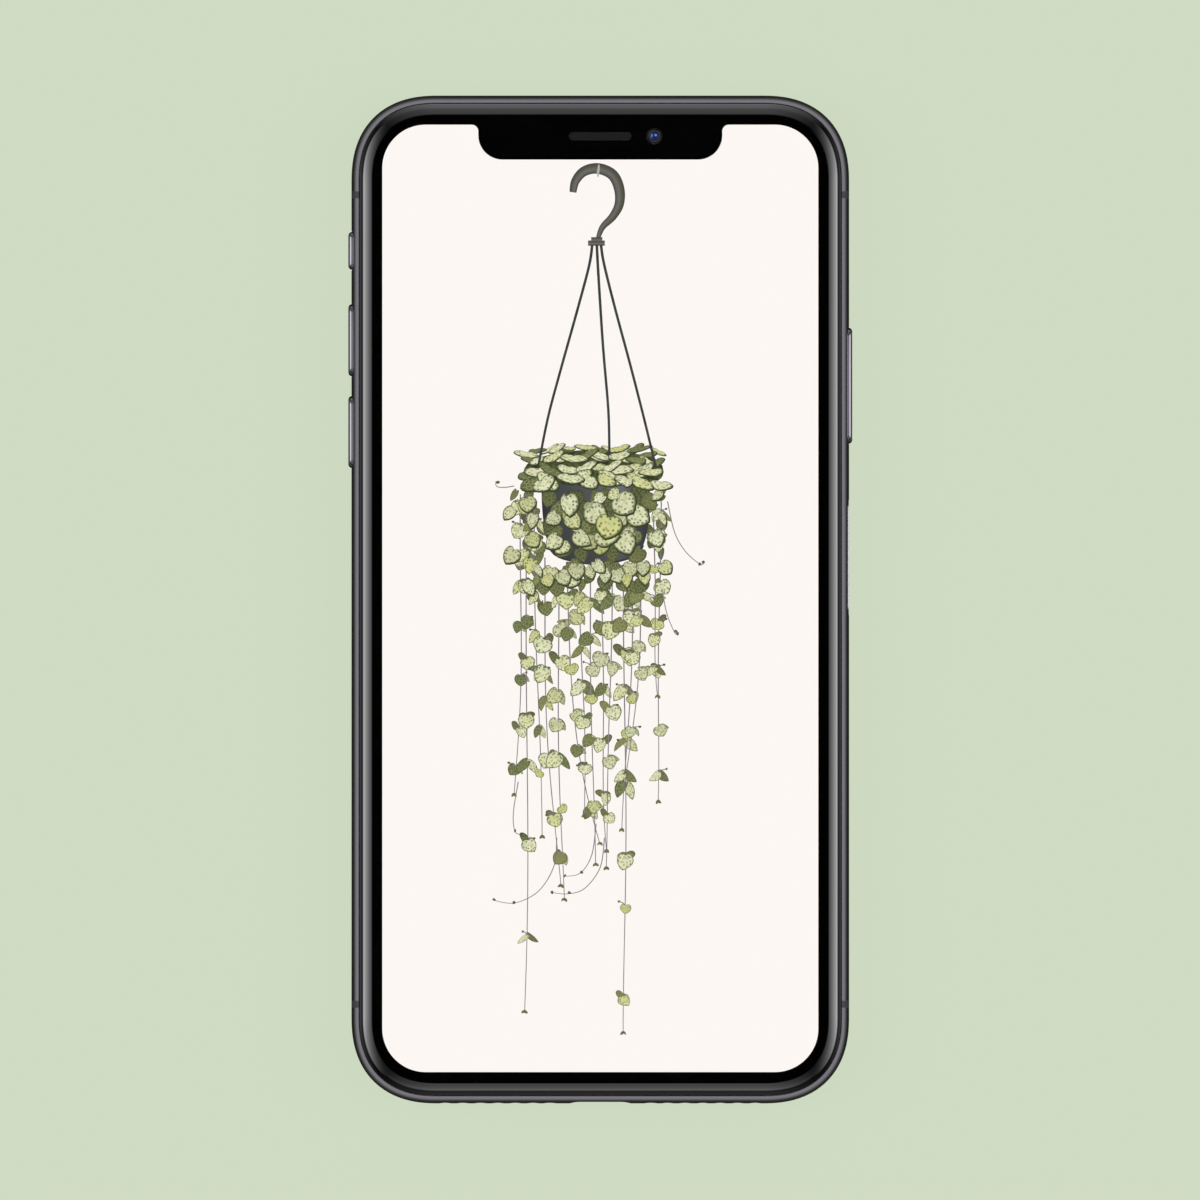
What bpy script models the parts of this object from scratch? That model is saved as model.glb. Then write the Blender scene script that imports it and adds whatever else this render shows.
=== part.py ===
"""A smartphone with a notched display, lying on its back with the display up.

Units are metres. X runs across the phone, Y from its foot to its head and Z from its
back to its display. The origin is in the middle of the flat face of the back glass.
"""

import math

import bmesh
import bpy

# Outer form
WIDTH = 0.0710
HEIGHT = 0.1438
THICKNESS = 0.0079
MIDDLE_Z = THICKNESS / 2
CORNER_REACH = 0.0123  # how far a rounded corner runs along each side
CORNER_POWER = 2.34  # 2 would make the corner a quarter circle
CORNER_STEPS = 14
EDGE_ROUND = 0.00292  # how far the rounded edge reaches in from the side

# Frame section, as distances in from the side and heights
LIP_OUTER = 0.00100
LIP_INNER = 0.00105
BAND_INNER = 0.00240
BAND_STEPS = 12
PLATE_BOTTOM = 0.00102
PLATE_TOP = 0.00145
LEDGE_Z = 0.00655

# Glass
GLASS_INSET = 0.00119
GLASS_EDGE_STEPS = 8
COVER_BOTTOM = 0.00695
BACK_TOP = THICKNESS - COVER_BOTTOM

# Display
SCREEN_WIDTH = 0.06222
SCREEN_TOP = HEIGHT / 2 - 0.00415
SCREEN_BOTTOM = -HEIGHT / 2 + 0.00447
SCREEN_CORNER = 0.0062
NOTCH_WIDTH = 0.0348
NOTCH_DEPTH = 0.00498
NOTCH_CORNER = 0.00343
NOTCH_FILLET = 0.00096
SCREEN_STEPS = 8
LAYER_BOTTOM = 0.00670
LAYER_TOP = 0.00687
PANEL_INSET = 0.0027
PANEL_BOTTOM = 0.00595
PANEL_TOP = 0.00665
GASKET_OUTER = 0.00109
GASKET_INNER = 0.00260

# Sensors in the notch
SENSOR_Y = 0.0661
EARPIECE_LENGTH = 0.0090
EARPIECE_HEIGHT = 0.0012
LENS_X = 0.0077
LENS_RADIUS = 0.00115

# Keys on the two long sides
KEY_HEIGHT = 0.0024
KEY_REACH = WIDTH / 2 + 0.00045
KEY_CLEARANCE = 0.00015
KEY_BEVEL = 0.00015
KEY_TRAVEL = 0.0003
FLANGE_OUTER = WIDTH / 2 - BAND_INNER - 0.0001
FLANGE_THICKNESS = 0.0004
FLANGE_MARGIN = 0.0006
NUB_LENGTH = 0.00015
DOME_X = FLANGE_OUTER - FLANGE_THICKNESS - NUB_LENGTH - KEY_TRAVEL - 0.00005
VOLUME_LENGTH = 0.0103
VOLUME_UP_Y = 0.0370
VOLUME_DOWN_Y = 0.0239
SIDE_KEY_LENGTH = 0.01655
SIDE_KEY_Y = 0.0305
RING_Y = 0.04975
RING_LENGTH = 0.0054
RING_HEIGHT = 0.0017
RING_TRAVEL = 0.0009
RING_FLANGE_THICKNESS = 0.0003

# SIM tray
SIM_Y = 0.0060
TRAY_FACE_LENGTH = 0.0164
TRAY_BED_LENGTH = 0.0138
TRAY_BED_HEIGHT = 0.0012
TRAY_INNER_X = 0.0216
TRAY_FACE_X = WIDTH / 2 - 0.0016
CARD_WIDTH = 0.0088
CARD_LENGTH = 0.0123
CARD_THICKNESS = 0.0005

# Foot of the phone
PORT_WIDTH = 0.00834
PORT_HEIGHT = 0.00256
HOLE_RADIUS = 0.00075
HOLE_FIRST_X = 0.0096
HOLE_PITCH = 0.0025
HOLE_COUNT = 6
SCREW_X = 0.0072
SCREW_RADIUS = 0.00085

# Inside
INSIDE_FLOOR = 0.0019
BOARD_TOP = 0.0026

# Rear cameras
CAMERA_X = 0.0235
CAMERA_Y = 0.0520
CAMERA_SPACING = 0.0110
CAMERA_RING_WIDTH = 0.0110
CAMERA_RING_LENGTH = 0.0220
FLASH_X = 0.0128

ANTENNA_Y = 0.05775
ANTENNA_WIDTH = 0.0010
COIL_Y = -0.003
COIL_RADIUS = 0.0212
FIT = 0.0001  # gap left between two fitted pieces
ROUND_STEPS = 24


def clear_scene():
    for thing in list(bpy.data.objects):
        bpy.data.objects.remove(thing)


def material(name, colour, roughness, metallic=0.0):
    made = bpy.data.materials.get(name)
    if made is None:
        made = bpy.data.materials.new(name)
        made.use_nodes = True
        shader = made.node_tree.nodes["Principled BSDF"]
        shader.inputs["Base Color"].default_value = (*colour, 1.0)
        shader.inputs["Roughness"].default_value = roughness
        shader.inputs["Metallic"].default_value = metallic
    return made


def metal():
    return material("grey metal", (0.17, 0.165, 0.19), 0.3, 1.0)


def steel():
    return material("steel", (0.55, 0.55, 0.57), 0.35, 1.0)


def glass():
    return material("cover glass", (0.02, 0.02, 0.022), 0.05)


def black_plastic():
    return material("black plastic", (0.012, 0.012, 0.013), 0.5)


def carrier():
    return material("antenna carrier", (0.05, 0.05, 0.055), 0.5)


def circuit_board():
    return material("circuit board", (0.02, 0.06, 0.05), 0.5)


# Two-dimensional outlines, all running counter-clockwise


def phone_outline(inset):
    """The phone's outline seen from the front, moved inwards by inset."""
    points = []
    quarter = math.pi / 2
    for corner in range(4):
        sign_x = (1, -1, -1, 1)[corner]
        sign_y = (1, 1, -1, -1)[corner]
        for step in range(CORNER_STEPS + 1):
            t = quarter * step / CORNER_STEPS
            if corner % 2:
                t = quarter - t
            across = max(math.cos(t), 0.0) ** (2 / CORNER_POWER)
            along = max(math.sin(t), 0.0) ** (2 / CORNER_POWER)
            normal_x = across ** (CORNER_POWER - 1)
            normal_y = along ** (CORNER_POWER - 1)
            size = math.hypot(normal_x, normal_y)
            x = WIDTH / 2 - CORNER_REACH * (1 - across) - inset * normal_x / size
            y = HEIGHT / 2 - CORNER_REACH * (1 - along) - inset * normal_y / size
            points.append((sign_x * x, sign_y * y))
    return points


def arc(centre_x, centre_y, radius, start, end, steps=SCREEN_STEPS):
    """Points on an arc from start to end, in degrees."""
    points = []
    for step in range(steps + 1):
        angle = math.radians(start + (end - start) * step / steps)
        x = centre_x + radius * math.cos(angle)
        y = centre_y + radius * math.sin(angle)
        points.append((x, y))
    return points


def screen_outline(grow=0.0):
    """The lit area with its notch, moved outwards by grow."""
    side = SCREEN_WIDTH / 2 + grow
    top = SCREEN_TOP + grow
    bottom = SCREEN_BOTTOM - grow
    corner = SCREEN_CORNER + grow
    notch_side = NOTCH_WIDTH / 2 - grow
    notch_y = SCREEN_TOP - NOTCH_DEPTH + grow
    fillet = NOTCH_FILLET + grow
    hollow = NOTCH_CORNER - grow
    return (
        arc(-side + corner, bottom + corner, corner, 180, 270)
        + arc(side - corner, bottom + corner, corner, 270, 360)
        + arc(side - corner, top - corner, corner, 0, 90)
        + arc(notch_side + fillet, top - fillet, fillet, 90, 180)
        + arc(notch_side - hollow, notch_y + hollow, hollow, 0, -90)
        + arc(-notch_side + hollow, notch_y + hollow, hollow, -90, -180)
        + arc(-notch_side - fillet, top - fillet, fillet, 0, 90)
        + arc(-side + corner, top - corner, corner, 90, 180)
    )


def rounded_rectangle(length, height, radius, centre=(0, 0), steps=5):
    across = length / 2 - radius
    along = height / 2 - radius
    u, v = centre
    return (
        arc(u + across, v + along, radius, 0, 90, steps)
        + arc(u - across, v + along, radius, 90, 180, steps)
        + arc(u - across, v - along, radius, 180, 270, steps)
        + arc(u + across, v - along, radius, 270, 360, steps)
    )


def capsule(length, height, centre=(0, 0), steps=5):
    """A rectangle with full round ends."""
    radius = min(length, height) / 2 * 0.999
    return rounded_rectangle(length, height, radius, centre, steps)


def circle(radius, centre=(0, 0), steps=ROUND_STEPS):
    return arc(centre[0], centre[1], radius, 0, 360 * (steps - 1) / steps, steps - 1)


# Solids


def lift(axis, outline, distance):
    """The outline's points in space, with distance measured along the axis."""
    if axis == "X":
        return [(distance, u, v) for u, v in outline]
    if axis == "Y":
        return [(u, distance, v) for u, v in outline]
    return [(u, v, distance) for u, v in outline]


def mesh_object(name, shape, look):
    """Turns a bmesh into a named object with outward normals."""
    bmesh.ops.recalc_face_normals(shape, faces=shape.faces)
    mesh = bpy.data.meshes.new(name)
    shape.to_mesh(mesh)
    shape.free()
    mesh.shade_smooth()
    mesh.set_sharp_from_angle(angle=math.radians(30))
    if look:
        mesh.materials.append(look)
    made = bpy.data.objects.new(name, mesh)
    bpy.context.scene.collection.objects.link(made)
    return made


def loft(name, loops, look, ring=False):
    """A solid skinned over loops with equal counts: capped, or closed on itself as a ring."""
    shape = bmesh.new()
    rows = [[shape.verts.new(point) for point in loop] for loop in loops]
    pairs = list(zip(rows, rows[1:]))
    if ring:
        pairs.append((rows[-1], rows[0]))
    else:
        shape.faces.new(rows[0])
        shape.faces.new(rows[-1])
    for lower, upper in pairs:
        count = len(lower)
        for i in range(count):
            j = (i + 1) % count
            shape.faces.new((lower[i], lower[j], upper[j], upper[i]))
    return mesh_object(name, shape, look)


def prism(name, axis, outline, start, end, look):
    return loft(name, [lift(axis, outline, start), lift(axis, outline, end)], look)


def block(name, x, y, z, look, bevel=0.0002):
    """A box from its limits on each axis, with its edges taken off."""
    shape = bmesh.new()
    bmesh.ops.create_cube(shape, size=1.0)
    size = (x[1] - x[0], y[1] - y[0], z[1] - z[0])
    middle = ((x[0] + x[1]) / 2, (y[0] + y[1]) / 2, (z[0] + z[1]) / 2)
    bmesh.ops.scale(shape, vec=size, verts=shape.verts)
    bmesh.ops.translate(shape, vec=middle, verts=shape.verts)
    if bevel:
        bmesh.ops.bevel(
            shape,
            geom=shape.edges,
            offset=min(bevel, min(size) / 4),
            segments=1,
            profile=0.5,
            affect="EDGES",
            material=-1,
        )
    return mesh_object(name, shape, look)


def helper(tool):
    tool.hide_render = True
    tool.display_type = "WIRE"
    return tool


def combine(target, tool, operation):
    step = target.modifiers.new(tool.name, "BOOLEAN")
    step.operation = operation
    step.solver = "EXACT"
    step.object = helper(tool)


def cut(target, *tools):
    for tool in tools:
        combine(target, tool, "DIFFERENCE")


def join(target, *tools):
    for tool in tools:
        combine(target, tool, "UNION")


# The frame: a rounded metal band with a thin plate across its back


def band_curve():
    """Distances in and heights along the band's outer side, from back lip to front lip."""
    limit = math.acos(1 - LIP_OUTER / EDGE_ROUND)
    points = []
    for step in range(BAND_STEPS + 1):
        angle = limit * (2 * step / BAND_STEPS - 1)
        inset = EDGE_ROUND * (1 - math.cos(angle))
        points.append((inset, MIDDLE_Z * (1 + math.sin(angle))))
    return points


def outline_loops(section):
    return [lift("Z", phone_outline(inset), z) for inset, z in section]


def key_slot(name, side, centre, length, height, inner=WIDTH / 2 - 0.0035):
    """A cutter for a round-ended slot through a long side of the band."""
    outline = capsule(length, height, centre)
    return prism(name, "X", outline, side * inner, side * (WIDTH / 2 + 0.001), None)


def foot_cylinders(name, centres, radius, start, end):
    """Cylinders that run along Y at the foot, in one mesh."""
    shape = bmesh.new()
    for x in centres:
        rows = []
        for y in (start, end):
            loop = lift("Y", circle(radius, (x, MIDDLE_Z), 12), y)
            rows.append([shape.verts.new(point) for point in loop])
        shape.faces.new(rows[0])
        shape.faces.new(rows[1])
        for i in range(12):
            j = (i + 1) % 12
            shape.faces.new((rows[0][i], rows[0][j], rows[1][j], rows[1][i]))
    return mesh_object(name, shape, None)


def cut_key_slots(frame):
    grown = 2 * KEY_CLEARANCE
    for name, side, y, length in (
        ("volume_up_slot", -1, VOLUME_UP_Y, VOLUME_LENGTH),
        ("volume_down_slot", -1, VOLUME_DOWN_Y, VOLUME_LENGTH),
        ("side_key_slot", 1, SIDE_KEY_Y, SIDE_KEY_LENGTH),
    ):
        slot = key_slot(name, side, (y, MIDDLE_Z), length + grown, KEY_HEIGHT + grown)
        cut(frame, slot)
    height = RING_HEIGHT + RING_TRAVEL + 2 * FIT
    outline = rounded_rectangle(
        RING_LENGTH + grown, height, RING_HEIGHT / 2 + FIT, (RING_Y, MIDDLE_Z)
    )
    start = -WIDTH / 2 - 0.001
    end = -WIDTH / 2 + 0.0035
    cut(frame, prism("ring_slot", "X", outline, start, end, None))


def cut_tray_slot(frame):
    outer = key_slot(
        "tray_face_slot",
        1,
        (SIM_Y, MIDDLE_Z),
        TRAY_FACE_LENGTH + 2 * FIT,
        KEY_HEIGHT + 2 * FIT,
        inner=TRAY_FACE_X - FIT,
    )
    inner = key_slot(
        "tray_bed_slot",
        1,
        (SIM_Y, MIDDLE_Z),
        TRAY_BED_LENGTH + 0.0003,
        TRAY_BED_HEIGHT + 0.0004,
    )
    cut(frame, outer, inner)


def hole_places():
    places = [HOLE_FIRST_X + HOLE_PITCH * i for i in range(HOLE_COUNT)]
    return places + [-x for x in places]


def cut_foot(frame):
    outside = -HEIGHT / 2 - 0.001
    inside = -HEIGHT / 2 + 0.003
    mouth = capsule(PORT_WIDTH + 0.0004, PORT_HEIGHT + 0.0004, (0, MIDDLE_Z))
    port = prism("port_mouth", "Y", mouth, outside, inside, None)
    holes = foot_cylinders("foot_holes", hole_places(), HOLE_RADIUS, outside, inside)
    screws = (-SCREW_X, SCREW_X)
    seats = foot_cylinders(
        "screw_seats", screws, SCREW_RADIUS + FIT, outside, -HEIGHT / 2 + 0.001
    )
    threads = foot_cylinders("screw_threads", screws, 0.00065, outside, inside)
    cut(frame, port, holes, seats, threads)


def cut_back_plate(frame):
    low, high = 0.0, PLATE_TOP + 0.001
    opening = capsule(
        CAMERA_RING_WIDTH + 2 * FIT, CAMERA_RING_LENGTH + 2 * FIT, (CAMERA_X, CAMERA_Y)
    )
    camera = prism("camera_opening", "Z", opening, low, high, None)
    flash_disc = circle(0.0025, (FLASH_X, CAMERA_Y))
    flash = prism("flash_opening", "Z", flash_disc, low, high, None)
    coil_disc = circle(COIL_RADIUS + 0.0004, (0, COIL_Y), 36)
    coil = prism("coil_opening", "Z", coil_disc, low, high, None)
    cut(frame, camera, flash, coil)


def antenna_places():
    return [
        (f"antenna_line_{end}_{side}", sx, sy)
        for end, sy in (("upper", 1), ("lower", -1))
        for side, sx in (("left", -1), ("right", 1))
    ]


def cut_antenna_slots(frame):
    half = ANTENNA_WIDTH / 2
    inner = WIDTH / 2 - BAND_INNER - FIT
    for name, side, end in antenna_places():
        x = sorted((side * inner, side * (WIDTH / 2 + 0.001)))
        y = (end * ANTENNA_Y - half, end * ANTENNA_Y + half)
        z = (-0.001, THICKNESS)
        cut(frame, block(name + "_slot", x, y, z, None, bevel=0))


def make_frame():
    curve = band_curve()
    lip_back = curve[0][1]
    lip_front = curve[-1][1]
    section = (
        [(LIP_INNER, PLATE_BOTTOM), (LIP_INNER, lip_back)]
        + curve
        + [(LIP_INNER, lip_front), (LIP_INNER, LEDGE_Z)]
        + [(BAND_INNER, LEDGE_Z), (BAND_INNER, PLATE_TOP)]
    )
    frame = loft("frame", outline_loops(section), metal())
    cut_key_slots(frame)
    cut_tray_slot(frame)
    cut_foot(frame)
    cut_back_plate(frame)
    cut_antenna_slots(frame)


def make_antenna_lines():
    """Plastic plugs with the band's own section, one in each break of the metal."""
    curve = band_curve()
    section = curve + [
        (LIP_INNER, curve[-1][1]),
        (LIP_INNER, LEDGE_Z),
        (BAND_INNER, LEDGE_Z),
        (BAND_INNER, PLATE_BOTTOM),
        (LIP_INNER, PLATE_BOTTOM),
        (LIP_INNER, curve[0][1]),
    ]
    half = ANTENNA_WIDTH / 2 - FIT / 2
    plastic = material("antenna plastic", (0.045, 0.044, 0.05), 0.45)
    for name, side, end in antenna_places():
        outline = [(side * (WIDTH / 2 - inset), z) for inset, z in section]
        middle = end * ANTENNA_Y
        prism(name, "Y", outline, middle - half, middle + half, plastic)


# Glass, display and what lies between them


def glass_edge():
    """Distances in and drops of the curved edge, which carries on the band's rounding."""
    start = math.acos(1 - GLASS_INSET / EDGE_ROUND)
    points = []
    for step in range(GLASS_EDGE_STEPS + 1):
        angle = start + (math.pi / 2 - start) * step / GLASS_EDGE_STEPS
        inset = EDGE_ROUND * (1 - math.cos(angle))
        points.append((inset, MIDDLE_Z * (1 - math.sin(angle))))
    return points


def make_cover_glass():
    section = [(GLASS_INSET, COVER_BOTTOM)]
    section += [(inset, THICKNESS - drop) for inset, drop in glass_edge()]
    cover = loft("cover_glass", outline_loops(section), glass())
    outline = capsule(EARPIECE_LENGTH, EARPIECE_HEIGHT, (0, SENSOR_Y))
    slot = prism("earpiece_slot", "Z", outline, PANEL_BOTTOM, THICKNESS + 0.001, None)
    cut(cover, slot)


def make_back_glass():
    section = [(GLASS_INSET, BACK_TOP)]
    section += [(inset, drop) for inset, drop in glass_edge()]
    back = loft("back_glass", outline_loops(section), glass())
    low, high = -0.001, BACK_TOP + 0.001
    opening = capsule(
        CAMERA_RING_WIDTH + 2 * FIT, CAMERA_RING_LENGTH + 2 * FIT, (CAMERA_X, CAMERA_Y)
    )
    camera = prism("camera_window_opening", "Z", opening, low, high, None)
    disc = circle(0.0024, (FLASH_X, CAMERA_Y))
    flash = prism("flash_window_opening", "Z", disc, low, high, None)
    cut(back, camera, flash)


def make_display():
    bottom = LEDGE_Z + 0.00007
    gasket_section = [
        (GASKET_OUTER, LAYER_TOP),
        (GASKET_OUTER, bottom),
        (GASKET_INNER, bottom),
        (GASKET_INNER, LAYER_TOP),
    ]
    loft("display_gasket", outline_loops(gasket_section), black_plastic(), ring=True)

    dark = material("display black", (0.004, 0.004, 0.004), 0.3)
    panel = prism(
        "display_panel", "Z", phone_outline(PANEL_INSET), PANEL_BOTTOM, PANEL_TOP, dark
    )
    half = NOTCH_WIDTH / 2 - 0.0002
    notch_y = SCREEN_TOP - NOTCH_DEPTH + FIT
    room = block("sensor_room", (-half, half), (notch_y, HEIGHT), (0, THICKNESS), None, 0)
    cut(panel, room)

    lit = material("lit screen", (0.97, 0.93, 0.89), 0.4)
    prism("screen_layer", "Z", screen_outline(), LAYER_BOTTOM, LAYER_TOP, lit)

    mask = prism(
        "black_mask", "Z", phone_outline(PANEL_INSET), LAYER_BOTTOM, LAYER_TOP, dark
    )
    low, high = LAYER_BOTTOM - 0.001, LAYER_TOP + 0.001
    window = prism("mask_window", "Z", screen_outline(FIT / 2), low, high, None)
    slot_outline = capsule(EARPIECE_LENGTH, EARPIECE_HEIGHT, (0, SENSOR_Y))
    slot = prism("mask_slot", "Z", slot_outline, low, high, None)
    eye = prism("mask_eye", "Z", circle(LENS_RADIUS, (LENS_X, SENSOR_Y)), low, high, None)
    cut(mask, window, slot, eye)


def make_notch_sensors():
    outline = capsule(EARPIECE_LENGTH - 2 * FIT, EARPIECE_HEIGHT - 2 * FIT, (0, SENSOR_Y))
    mesh_look = material("earpiece mesh", (0.009, 0.009, 0.009), 0.6, 0.5)
    prism("earpiece_mesh", "Z", outline, PANEL_TOP, THICKNESS - 0.00015, mesh_look)
    row = (0.0634, 0.0688)
    block("earpiece_speaker", (-0.0086, 0.0046), row, (0.0044, 0.0065), black_plastic())
    for name, x, width, radius in (
        ("front_camera", LENS_X, 0.0054, 0.0017),
        ("infrared_camera", -0.0122, 0.0054, 0.0014),
        ("dot_projector", 0.0142, 0.0050, 0.0012),
    ):
        sides = (x - width / 2, x + width / 2)
        sensor = block(name, sides, row, (0.0044, 0.0060), black_plastic())
        barrel = circle(radius, (x, SENSOR_Y), 20)
        join(sensor, prism(name + "_barrel", "Z", barrel, 0.0050, PANEL_TOP, None))
    block("sensor_bracket", (-0.0155, 0.0172), (0.0630, 0.0690), (0.0040, 0.0043), steel())


# Keys, switch and SIM tray


def key_cap(length, height, place):
    """Outlines of a round-ended cap from its flange to its bevelled crown."""
    cap = capsule(length, height, place)
    crown = capsule(length - 2 * KEY_BEVEL, height - 2 * KEY_BEVEL, place)
    return [(cap, FLANGE_OUTER), (cap, KEY_REACH - KEY_BEVEL), (crown, KEY_REACH)]


def make_key(name, side, y, length):
    """A key with a flange inside the band and a nub that presses its switch."""
    place = (y, MIDDLE_Z)
    nub = capsule(0.0024, 0.0014, place)
    flange = capsule(length + 2 * FLANGE_MARGIN, KEY_HEIGHT + 2 * FLANGE_MARGIN, place)
    flange_inner = FLANGE_OUTER - FLANGE_THICKNESS
    stages = [(nub, flange_inner - NUB_LENGTH), (nub, flange_inner)]
    stages += [(flange, flange_inner), (flange, FLANGE_OUTER)]
    stages += key_cap(length, KEY_HEIGHT, place)
    loft(name, [lift("X", loop, side * x) for loop, x in stages], metal())


def make_ring_switch():
    """A rocker that slides towards the back to silence the phone."""
    place = (RING_Y, MIDDLE_Z + RING_TRAVEL / 2)
    flange = rounded_rectangle(0.0072, 0.0029, 0.00085, (RING_Y, 0.0041))
    stages = [(flange, FLANGE_OUTER - RING_FLANGE_THICKNESS), (flange, FLANGE_OUTER)]
    stages += key_cap(RING_LENGTH, RING_HEIGHT, place)
    loft("ring_switch", [lift("X", loop, -x) for loop, x in stages], metal())
    base_outer = FLANGE_OUTER - RING_FLANGE_THICKNESS - 2 * FIT
    x = (-base_outer, -base_outer + 0.0016)
    y = (RING_Y - 0.00475, RING_Y + 0.00475)
    block("ring_switch_base", x, y, (INSIDE_FLOOR, 0.0055), black_plastic())


def make_switch_boards():
    """Strips that carry a dome switch behind each key."""
    for name, side, low, high, domes in (
        ("volume_switch_board", -1, 0.0170, 0.0440, (VOLUME_UP_Y, VOLUME_DOWN_Y)),
        ("side_switch_board", 1, 0.0205, 0.0403, (SIDE_KEY_Y,)),
    ):
        board_x = DOME_X - 0.0002
        x = sorted((side * (board_x - 0.0005), side * board_x))
        z = (INSIDE_FLOOR, 0.0055)
        board = block(name, x, (low, high), z, circuit_board(), 0.0001)
        for i, y in enumerate(domes):
            disc = circle(0.0012, (y, MIDDLE_Z), 16)
            start = side * (board_x - 0.0003)
            dome = prism(f"{name}_dome_{i}", "X", disc, start, side * DOME_X, None)
            join(board, dome)


def make_sim_tray():
    place = (SIM_Y, MIDDLE_Z)
    bed = rounded_rectangle(TRAY_BED_LENGTH, TRAY_BED_HEIGHT, 0.0003, place)
    face = capsule(TRAY_FACE_LENGTH, KEY_HEIGHT, place)
    crown = capsule(TRAY_FACE_LENGTH - 0.0008, KEY_HEIGHT - 0.0008, place)
    stages = [
        (bed, TRAY_INNER_X),
        (bed, TRAY_FACE_X),
        (face, TRAY_FACE_X),
        (face, WIDTH / 2 - KEY_BEVEL),
        (crown, WIDTH / 2 - 0.00004),
    ]
    tray = loft("sim_tray", [lift("X", loop, x) for loop, x in stages], metal())

    low_x = TRAY_INNER_X + 0.0014
    high_x = low_x + CARD_WIDTH
    low_y = SIM_Y - CARD_LENGTH / 2
    high_y = SIM_Y + CARD_LENGTH / 2
    floor_z = MIDDLE_Z - TRAY_BED_HEIGHT / 2 + 0.0005
    well_x = (low_x - FIT, high_x + FIT)
    well_y = (low_y - FIT, high_y + FIT)
    well = block("card_well", well_x, well_y, (floor_z, THICKNESS), None, 0)
    pin_disc = circle(0.0004, (SIM_Y + 0.00745, MIDDLE_Z), 12)
    pin = prism("eject_hole", "X", pin_disc, TRAY_FACE_X - 0.001, WIDTH / 2, None)
    cut(tray, well, pin)

    corner = 0.0013
    card = [
        (low_x, low_y),
        (high_x, low_y),
        (high_x, high_y),
        (low_x + corner, high_y),
        (low_x, high_y - corner),
    ]
    white = material("card plastic", (0.75, 0.76, 0.78), 0.45)
    card_z = floor_z + FIT
    prism("sim_card", "Z", card, card_z, card_z + CARD_THICKNESS, white)


def make_sim_reader():
    """A steel shell on the logic board that the tray slides into."""
    x = (TRAY_INNER_X - 0.001, WIDTH / 2 - BAND_INNER - 0.0003)
    y = (SIM_Y - 0.0084, SIM_Y + 0.0084)
    reader = block("sim_reader", x, y, (BOARD_TOP + FIT, 0.0052), steel())
    pocket_x = (TRAY_INNER_X - 0.0003, WIDTH / 2)
    pocket_y = (SIM_Y - 0.0073, SIM_Y + 0.0073)
    half = TRAY_BED_HEIGHT / 2 + 2 * FIT
    pocket_z = (MIDDLE_Z - half, MIDDLE_Z + half)
    cut(reader, block("reader_pocket", pocket_x, pocket_y, pocket_z, None, 0))


# What the phone holds inside


def make_power():
    foil = material("battery foil", (0.03, 0.03, 0.032), 0.4)
    outline = [
        (-0.0305, -0.0460),
        (0.0305, -0.0460),
        (0.0305, -0.0315),
        (0.0095, -0.0315),
        (0.0095, 0.0440),
        (-0.0305, 0.0440),
    ]
    prism("battery", "Z", outline, INSIDE_FLOOR, 0.0054, foil)
    block(
        "battery_connector",
        (0.0096, 0.0140),
        (-0.0030, 0.0018),
        (BOARD_TOP + FIT, BOARD_TOP + 0.0009),
        black_plastic(),
    )
    copper = material("copper winding", (0.72, 0.34, 0.18), 0.4, 1.0)
    inner, outer = 0.0102, COIL_RADIUS
    low, high = PLATE_BOTTOM, PLATE_TOP - 0.00005
    section = [(inner, low), (outer, low), (outer, high), (inner, high)]
    loops = [lift("Z", circle(r, (0, COIL_Y), 36), z) for r, z in section]
    loft("wireless_coil", loops, copper, ring=True)


def make_boards():
    outline = [
        (0.0115, -0.0300),
        (0.0312, -0.0300),
        (0.0312, 0.0405),
        (0.0175, 0.0405),
        (0.0175, 0.0615),
        (-0.0290, 0.0615),
        (-0.0290, 0.0455),
        (0.0115, 0.0455),
    ]
    prism("logic_board", "Z", outline, INSIDE_FLOOR, BOARD_TOP, circuit_board())
    for name, x, y, top in (
        ("upper_shield", (0.0125, 0.0308), (0.0160, 0.0400), 0.0047),
        ("lower_shield", (0.0125, 0.0308), (-0.0240, -0.0040), 0.0045),
        ("radio_shield", (-0.0270, 0.0080), (0.0470, 0.0602), 0.0037),
    ):
        block(name, x, y, (BOARD_TOP + FIT, top), steel(), 0.0003)


def ribbon(name, axis_range, path, thickness, look):
    """A flat cable: a path of (y, z) points with a thickness, as wide as axis_range."""
    lower = list(path)
    upper = [(y + thickness * 0.4, z + thickness) for y, z in reversed(path)]
    prism(name, "X", lower + upper, axis_range[0], axis_range[1], look)


def make_flat_cables():
    flex = material("flat cable", (0.30, 0.14, 0.03), 0.45)
    path = [
        (-0.0450, PANEL_BOTTOM - 0.00025),
        (-0.0315, PANEL_BOTTOM - 0.00025),
        (-0.0300, 0.0052),
        (-0.0290, 0.0034),
        (-0.0280, BOARD_TOP + 0.0002),
        (-0.0250, BOARD_TOP + 0.0002),
    ]
    ribbon("display_flex", (0.0150, 0.0190), path, 0.00015, flex)
    outline = [
        (-0.0030, -0.0616),
        (0.0180, -0.0616),
        (0.0180, -0.0270),
        (0.0140, -0.0270),
        (0.0140, -0.0594),
        (-0.0030, -0.0594),
    ]
    prism("dock_flex", "Z", outline, PLATE_TOP + 0.00015, PLATE_TOP + 0.0003, flex)


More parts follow.
